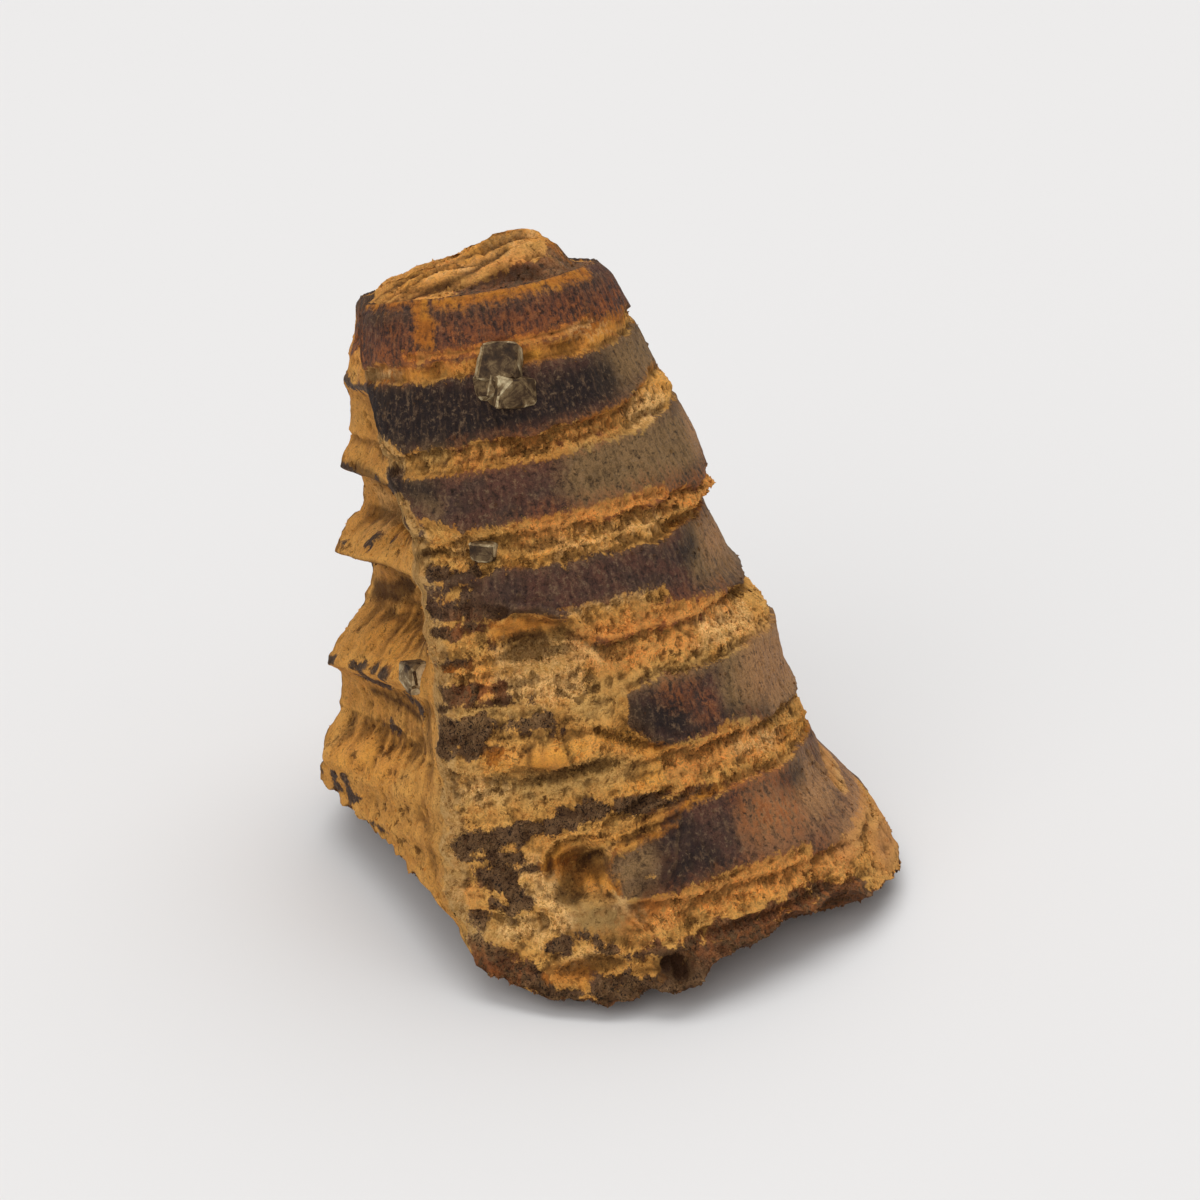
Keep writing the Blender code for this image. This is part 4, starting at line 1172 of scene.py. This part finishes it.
class StonePatterns:
    """What the stone's colours are mixed by. Each pattern is a wire, mostly from 0 to 1."""

    def __init__(self, start):
        self.start = start
        self.broken, self.coarse = self.film("broken").clamped(), self.film("coarse").clamped()
        self.unbroken = 1 - self.broken
        spot = drawn_out(own_place(start), self.broken)
        ring = attribute(start, "ring", "Vector")
        ring = ring.swayed(spot.speckle(1.1).also("Color"), 0.9)
        warped = spot.swayed(spot.speckle(1.6).also("Color"), 1.1)
        self.grain = spot.speckle(2.6, 4.0, 0.7)
        self.blotch = spot.speckle(0.45)
        self.tear = spot.speckle(1.05, 5.0, 0.7) - 0.5
        self.streaks = ring.stretched(2.6, 2.6, 0.75).speckle(1.0, 3.0, 0.65)
        self.strands = ring.stretched(0.6, 0.6, 2.6).speckle(1.0, 3.0, 0.65)
        self.strand_lines = self.strands.line(0.5, 10.0)
        worm = warped.speckle(2.1, 2.0, 0.5)
        self.threads = worm.line(0.5, 11.0)
        self.holes = (worm.between(0.58, 0.66) + worm.between(0.42, 0.34)).clamped()
        self.fine = warped.speckle(3.6, 2.0, 0.6)
        self.fine_threads, self.bright_threads = self.fine.line(0.5, 9.0), self.fine.line(0.53, 22.0)
        self.fine_holes = self.fine.between(0.55, 0.62) + self.fine.between(0.43, 0.36)
        self.pinhole = warped.from_dots(1.3).between(0.2, 0.08)
        picks = start.node("ShaderNodeSeparateColor", {}, {0: warped.speckle(0.9, 2.0, 0.6).also("Color")})
        self.pick, self.other_pick = picks, picks.also("Green")
        self.arris, self.tan = self.mask("arris", 1.2, 0.4), self.mask("tan", 1.6, 3.0, 0.3)
        self.dark = self.mask("dark", 1.5, 0.2)
        self.bare = 1 - self.dark

    def film(self, name):
        return attribute(self.start, name)

    def mask(self, name, torn, soft, shift=0.0):
        """A film's area, with its edge torn so far and so soft, in millimetres."""
        edge = self.tear * torn + (self.grain - 0.5) * (torn * 0.6)
        edge = edge + (self.streaks - 0.5) * self.unbroken * (torn * 0.7)
        return ((self.film(name) + edge + shift) / soft + 0.5).clamped()


print("patterns and masks:", [name for name in dir(StonePatterns) if not name.startswith("_")])

# %% [markdown]
# ## The filling and the crust
# The filling is ochre with golden, olive, rusty and pale films over it, then holes, then
# threads lit as crests. The crust is purple-brown, near-black where it is coarse, with its
# own films, streaks and specks. Thin bright threads cross the coarse crust.

# %% The colours of the filling and of the crust


def filling_colour(look, rust, gold):
    rough = look.bare * (0.25 + look.coarse * 0.75 + look.arris * 0.4 + look.broken * 0.15).clamped()
    wormy = rough * (1 - look.broken * 0.5)
    ochre = layered(
        mixed(look.blotch.between(0.4, 0.6), srgb(156, 98, 38), srgb(172, 124, 62)),
        (look.mask("gold", 2.0, 0.8) * 0.9, gold),
        (look.mask("olive", 2.0, 1.2) * 0.85, srgb(138, 114, 74)),
        (look.mask("rust", 2.6, 0.9) * 0.9, rust),
        (look.mask("pale", 3.0, 1.1) * 0.8, srgb(212, 172, 118)),
        (look.broken * (1 - look.arris) * 0.5, srgb(194, 134, 60)),
        (look.arris * 0.85, srgb(128, 106, 78)),
        (look.tan * 0.8, srgb(184, 126, 78)),
        (look.other_pick.between(0.52, 0.62) * (1 - look.tan) * 0.35, srgb(128, 70, 32)),
        (look.holes * wormy * look.grain, srgb(72, 40, 17)),
        (look.fine_holes * rough * (look.grain * 1.7), srgb(58, 31, 13)),
        (look.pinhole * (rough + look.broken * 0.6).clamped() * 0.85, srgb(50, 27, 11)),
        (look.strands.between(0.45, 0.3) * rough * look.unbroken * 0.5, srgb(86, 48, 20)),
    )
    ochre = lifted(ochre, look.strand_lines * rough * look.unbroken * 0.35)
    ochre = lifted(ochre, look.threads * wormy * 0.55)
    return lifted(ochre, look.fine_threads * rough * 1.45)


def crust_colour(look, rust):
    rusty = look.mask("rust", 2.0, 2.4) * (look.streaks * 0.5 + look.grain * 0.5 - 0.44).between(0.0, 0.1)
    return layered(
        mixed(look.blotch.between(0.42, 0.6), srgb(97, 62, 49), srgb(82, 59, 49)),
        ((look.broken * 0.6 + look.coarse).clamped(), srgb(34, 25, 24)),
        (look.mask("olive", 2.0, 1.8) * 0.9, srgb(148, 115, 74)),
        (look.tan * 0.85, srgb(188, 136, 88)),
        (look.mask("black", 1.5, 1.4) * 0.9, srgb(34, 27, 27)),
        (look.streaks.between(0.53, 0.75) * 0.45, srgb(150, 116, 84)),
        (look.streaks.between(0.5, 0.3) * 0.5, srgb(34, 23, 19)),
        (look.grain.between(0.55, 0.66) * 0.45, srgb(150, 122, 92)),
        (look.grain.between(0.46, 0.35) * 0.7, srgb(24, 17, 15)),
        (look.bright_threads * look.coarse * 0.6, srgb(176, 128, 80)),
        (look.fine_holes * (0.3 + look.coarse * 0.6), srgb(18, 12, 10)),
        (rusty * 0.7, mixed(0.35, rust, srgb(110, 60, 36))),
    )


print("the filling and the crust are mixed from", srgb(156, 98, 38)[:3], "and", srgb(97, 62, 49)[:3])

# %% [markdown]
# ## The whole finish of the stone
# The crust lies over the filling, and gold drips over the crust. Painted shade in pits and
# hollows, dark specks and drawn shade darken both; crests get painted highlights, some loose
# grains are lit, and other grains are darkened.

# %% The stone's finish
STONE_BUMP, STONE_SPECULAR = 0.0002, 0.16


def finish_stone(material):
    start = empty_finish(material)
    look = StonePatterns(start)
    rust = mixed(look.pick.between(0.42, 0.6), srgb(202, 112, 44), srgb(158, 84, 38))
    gold = mixed(look.blotch.between(0.35, 0.6), srgb(204, 134, 42), srgb(184, 108, 36))
    veined = layered(gold, (
        (look.holes * 0.4 + look.grain.between(0.5, 0.35) * 0.5).clamped(), srgb(84, 46, 20)))
    # painted shade in the pits that the grain tree sank, mixed with dark specks of noise
    pit_shade_and_specks = look.film("pit") + (look.grain - 0.5) * 3.0 + (look.fine - 0.5) * 2.0
    pit_shade_and_specks = pit_shade_and_specks + (look.blotch - 0.5) * 5.0 - 0.75
    near, middle, wide, tint = (look.film(name) for name in ("fine", "middle", "wide", "tint"))
    # painted shade: darker where the surface lies below its surroundings, most in the broken side's crevices
    painted_hollow_shade = 0 - near * (0.5 - look.broken * 0.3) - middle * 0.35
    painted_hollow_shade = painted_hollow_shade - wide * (0.02 + look.broken * 0.34) - 0.06
    painted_hollow_shade = painted_hollow_shade.clamped() * (0.5 + look.grain) * (1 - look.dark * 0.3)
    # painted highlight: lighter where the surface stands out of its surroundings
    painted_crest_highlight = (near * 0.7 + middle * 0.3).clamped() * (look.threads * 0.6 + 0.4)
    colour = layered(
        mixed(look.dark, filling_colour(look, rust, gold), crust_colour(look, rust)),
        (look.mask("gold", 1.6, 0.6, -0.2) * look.dark * 0.9, veined),
        (pit_shade_and_specks.between(0.0, 0.4) * (1 - look.dark * 0.6) * 0.65, srgb(62, 34, 14)),
        (look.mask("shade", 0.8, 0.5) * 0.8, srgb(52, 28, 12)),
        (painted_hollow_shade * 0.8, srgb(58, 31, 11)),
    )
    colour = lifted(colour, painted_crest_highlight * (0.4 - look.dark * 0.28) * (1 - look.arris * 0.8))
    colour = lifted(colour, tint.between(0.2, 1.0) * (0.4 - look.dark * 0.3))
    colour = mixed(tint.between(-0.5, -1.0) * 0.6, colour, srgb(84, 50, 22))
    grit = (look.threads * 0.5 + look.strand_lines * 0.3 + look.fine_threads * 0.7) * look.bare
    grit = grit + (look.grain - 0.5) * 1.2 + (look.streaks * 0.8 + look.fine_threads * 0.3) * look.dark
    sheen = (0.95 - look.dark * 0.3 + (look.grain - 0.5) * 0.5).clamped()
    end_finish(start, colour, sheen, STONE_SPECULAR, (grit, 1.0, STONE_BUMP))


finish_stone(stone_finish)
print("stone finish:", len(stone_finish.node_tree.nodes), "nodes")

# %% [markdown]
# ## The crystals
# Blocky crystals grew on the stone: a cluster near the top and two single ones. Each is a
# block with its edges bevelled and a few corners broken off flat, so it is made in mesh code,
# one after another, and all of them are one piece. Each facet keeps a shade of its own: the
# crystal's tone with a painted reflection that makes the facet lighter or darker.

# %% Cut and set the crystals
CRYSTALS = (  # name, direction, level, how deep it is sunk, size, turns, how much paler
    ("upper", 7.0, 38.2, 0.3, (3.2, 2.6, 2.8), (24, 12, 26), 0.4),
    ("lower", 8.6, 36.5, 0.4, (3.0, 2.6, 2.1), (-14, 18, -20), 0.2),
    ("side", 3.0, 37.0, 0.5, (1.8, 2.3, 2.1), (18, -14, 38), 0.3),
    ("left", -41.0, 17.8, 0.35, (1.7, 2.2, 2.3), (10, 0, 14), 0.8),
    ("small", -9.0, 26.4, 0.45, (1.7, 1.8, 1.3), (0, 12, 8), 0.6),
)
CRYSTAL_SEED = 20
CRYSTAL_BEVEL, CRYSTAL_CUTS, CRYSTAL_DENTS = 0.13, 7, 0.1
CUT_AT = 0.8


def broken_block(size, seed, paler):
    """One block in millimetres, with corners cut flat, its edges bevelled and its sides dented."""
    chance = np.random.default_rng(seed)
    block = bmesh.new()
    bmesh.ops.create_cube(block, size=1.0)
    bmesh.ops.scale(block, vec=Vector(size), verts=block.verts)
    for _ in range(CRYSTAL_CUTS):
        away = Vector(chance.normal(size=3)).normalized()
        reach = max(v.co.dot(away) for v in block.verts)
        geometry = block.verts[:] + block.edges[:] + block.faces[:]
        cut = bmesh.ops.bisect_plane(
            block, geom=geometry, plane_co=away * reach * CUT_AT, plane_no=away, clear_outer=True)
        edges = [e for e in cut["geom_cut"] if isinstance(e, bmesh.types.BMEdge)]
        bmesh.ops.contextual_create(block, geom=edges)
    facets = len(block.faces)
    shade = block.faces.layers.float.new("facet")
    bmesh.ops.bevel(block, geom=block.edges[:], offset=CRYSTAL_BEVEL, segments=1, affect="EDGES",
                    offset_type="OFFSET")
    # each face gets a random shade, a painted reflection that makes it lighter or darker, raised by how much
    # paler its crystal is
    by_area = sorted(block.faces, key=lambda face: -face.calc_area())
    for number, face in enumerate(by_area):
        face[shade] = chance.uniform(-1, 0.7) + paler if number < facets else chance.uniform(-0.6, 1.0)
    for vertex in block.verts:
        dent = [noise.noise(vertex.co * 1.3 + Vector((k * 9, seed, 0))) for k in range(3)]
        vertex.co += CRYSTAL_DENTS * Vector(dent)
    return block


def set_in_stone(block, direction, level, sunk, turns):
    """Turns a block, sinks it into the stone and puts it in metres, in the part's frame."""
    at, height = np.array([float(direction)]), np.array([float(level)])
    middle = Vector(place(at, height, stone_radius(at, height) - sunk)[0])
    turn = math.radians(direction)
    out = Vector(math.sin(turn) * RIGHT - math.cos(turn) * BACK)
    aside = Vector(UP).cross(out).normalized()
    stand = Matrix((aside, out, Vector(UP))).transposed()
    spin = Euler([math.radians(a) for a in turns]).to_matrix()
    for vertex in block.verts:
        vertex.co = (middle + stand @ spin @ vertex.co) * MM
    bmesh.ops.recalc_face_normals(block, faces=block.faces)


crystal_form = bmesh.new()
for index, (name, direction, level, sunk, size, turns, paler) in enumerate(CRYSTALS):
    block = broken_block(size, CRYSTAL_SEED + index, paler)
    set_in_stone(block, direction, level, sunk, turns)
    one = mesh_from(block, name)
    crystal_form.from_mesh(one)
    bpy.data.meshes.remove(one)
bmesh.ops.triangulate(crystal_form, faces=crystal_form.faces)
crystal_mesh = mesh_from(crystal_form, "crystals")
crystals = in_scene("crystals", crystal_mesh)
print("crystals:", [row[0] for row in CRYSTALS], "with", len(crystal_mesh.polygons), "faces")

# %% [markdown]
# The crystals are cloudy, from dark brown through olive to pale, as each facet's painted
# reflection, the crystal's tone and noise say, with dark flecks.

# %% The crystals' finish
CRYSTAL_TONES_AND_REFLECTIONS = (
    (0.0, srgb(24, 16, 10)), (0.3, srgb(70, 50, 30)), (0.6, srgb(128, 104, 70)), (1.0, srgb(214, 194, 152)),
)
CRYSTAL_BUMP, CRYSTAL_SPECULAR = 0.00012, 0.2


def shaded(value, stops):
    """A colour read from stops of (value, colour)."""
    made = value.node("ShaderNodeValToRGB", {}, {0: value})
    elements = made.socket.node.color_ramp.elements
    while len(elements) < len(stops):
        elements.new(0.5)
    for element, (position, colour) in zip(elements, stops):
        element.position, element.color = position, colour
    return made


def finish_crystals(material):
    start = empty_finish(material)
    spot = own_place(start)
    cloud = spot.speckle(1.1, 5.0, 0.7, distortion=0.6)
    fleck = spot.speckle(4.0, 3.0, 0.7)
    # each facet's painted reflection and its crystal's tone, clouded by noise, pick the colour from the ramp
    depth = (attribute(start, "facet") * 0.34 + (cloud - 0.5) * 1.7 + 0.46).clamped()
    colour = mixed(fleck.between(0.5, 0.65) * 0.4, shaded(depth, CRYSTAL_TONES_AND_REFLECTIONS), srgb(40, 28, 18))
    end_finish(start, colour, 0.45 + fleck * 0.3, CRYSTAL_SPECULAR, (cloud + fleck * 0.4, 0.6, CRYSTAL_BUMP))


crystal_finish = bpy.data.materials.new("crystal")
finish_crystals(crystal_finish)
crystal_mesh.materials.append(crystal_finish)
print("crystal finish:", len(crystal_finish.node_tree.nodes), "nodes")

# %% [markdown]
# ## Hanging the pieces on the part
# The stone, its grains and its crystals are all one rock, so they ride on the part's only
# body. The stone stands for the solid, which is then hidden.

# %% Ride and replace
PIECES = ((stone_body, "ironstone"), (loose_grains, "ironstone"), (crystals, "crystal"))
for piece, slot in PIECES:
    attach(piece, "root")
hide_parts("fossil_nautiloid")
for piece, slot in PIECES:
    print(piece.name, "has", sum(len(face.vertices) - 2 for face in piece.data.polygons), "triangles")

# %% [markdown]
# ## The table and the light
# A plain pale table, wide enough to reach past the edges of the picture.

# %% Table
TABLE_RADIUS = 1.5
TABLE_FINISH = {"Base Color": (0.78, 0.77, 0.765, 1), "Roughness": 0.9, "Specular IOR Level": 0.1}

table_form = bmesh.new()
bmesh.ops.create_circle(table_form, cap_ends=True, segments=64, radius=TABLE_RADIUS)
table_mesh = mesh_from(table_form, "table")
table = in_scene("table", table_mesh)
table_finish = bpy.data.materials.new("pale_table")
table_finish.use_nodes = True
for label, value in TABLE_FINISH.items():
    table_finish.node_tree.nodes["Principled BSDF"].inputs[label].default_value = value
table_mesh.materials.append(table_finish)
print("table radius, m:", TABLE_RADIUS)

# %% [markdown]
# The light is that of a white tent: bright all round, with one broad lamp high up behind the
# stone and one in front, a little to the left, so that the relief reads.

# %% Lamps and sky
LAMPS = (  # name, strength, width of the light in degrees, direction it comes from, its height
    ("overhead", 1.55, 60, 175, 68),
    ("front", 0.9, 60, -28, 42),
)
SKY_STRENGTH = 0.44

for name, strength, width, direction, height in LAMPS:
    lamp = in_scene(name, bpy.data.lights.new(name, "SUN"))
    lamp.data.energy, lamp.data.angle = strength, math.radians(width)
    turn, rise = math.radians(direction), math.radians(height)
    source = Vector((math.sin(turn) * math.cos(rise), -math.cos(turn) * math.cos(rise), math.sin(rise)))
    lamp.rotation_euler = source.to_track_quat("Z", "Y").to_euler()
sky = bpy.data.worlds.new("white_tent")
sky.use_nodes = True
sky.node_tree.nodes["Background"].inputs["Color"].default_value = (1, 1, 1, 1)
sky.node_tree.nodes["Background"].inputs["Strength"].default_value = SKY_STRENGTH
bpy.context.scene.world = sky
bpy.context.scene.view_settings.view_transform = "Standard"
print("lamps:", [lamp[0] for lamp in LAMPS])

# %% [markdown]
# ## Finish
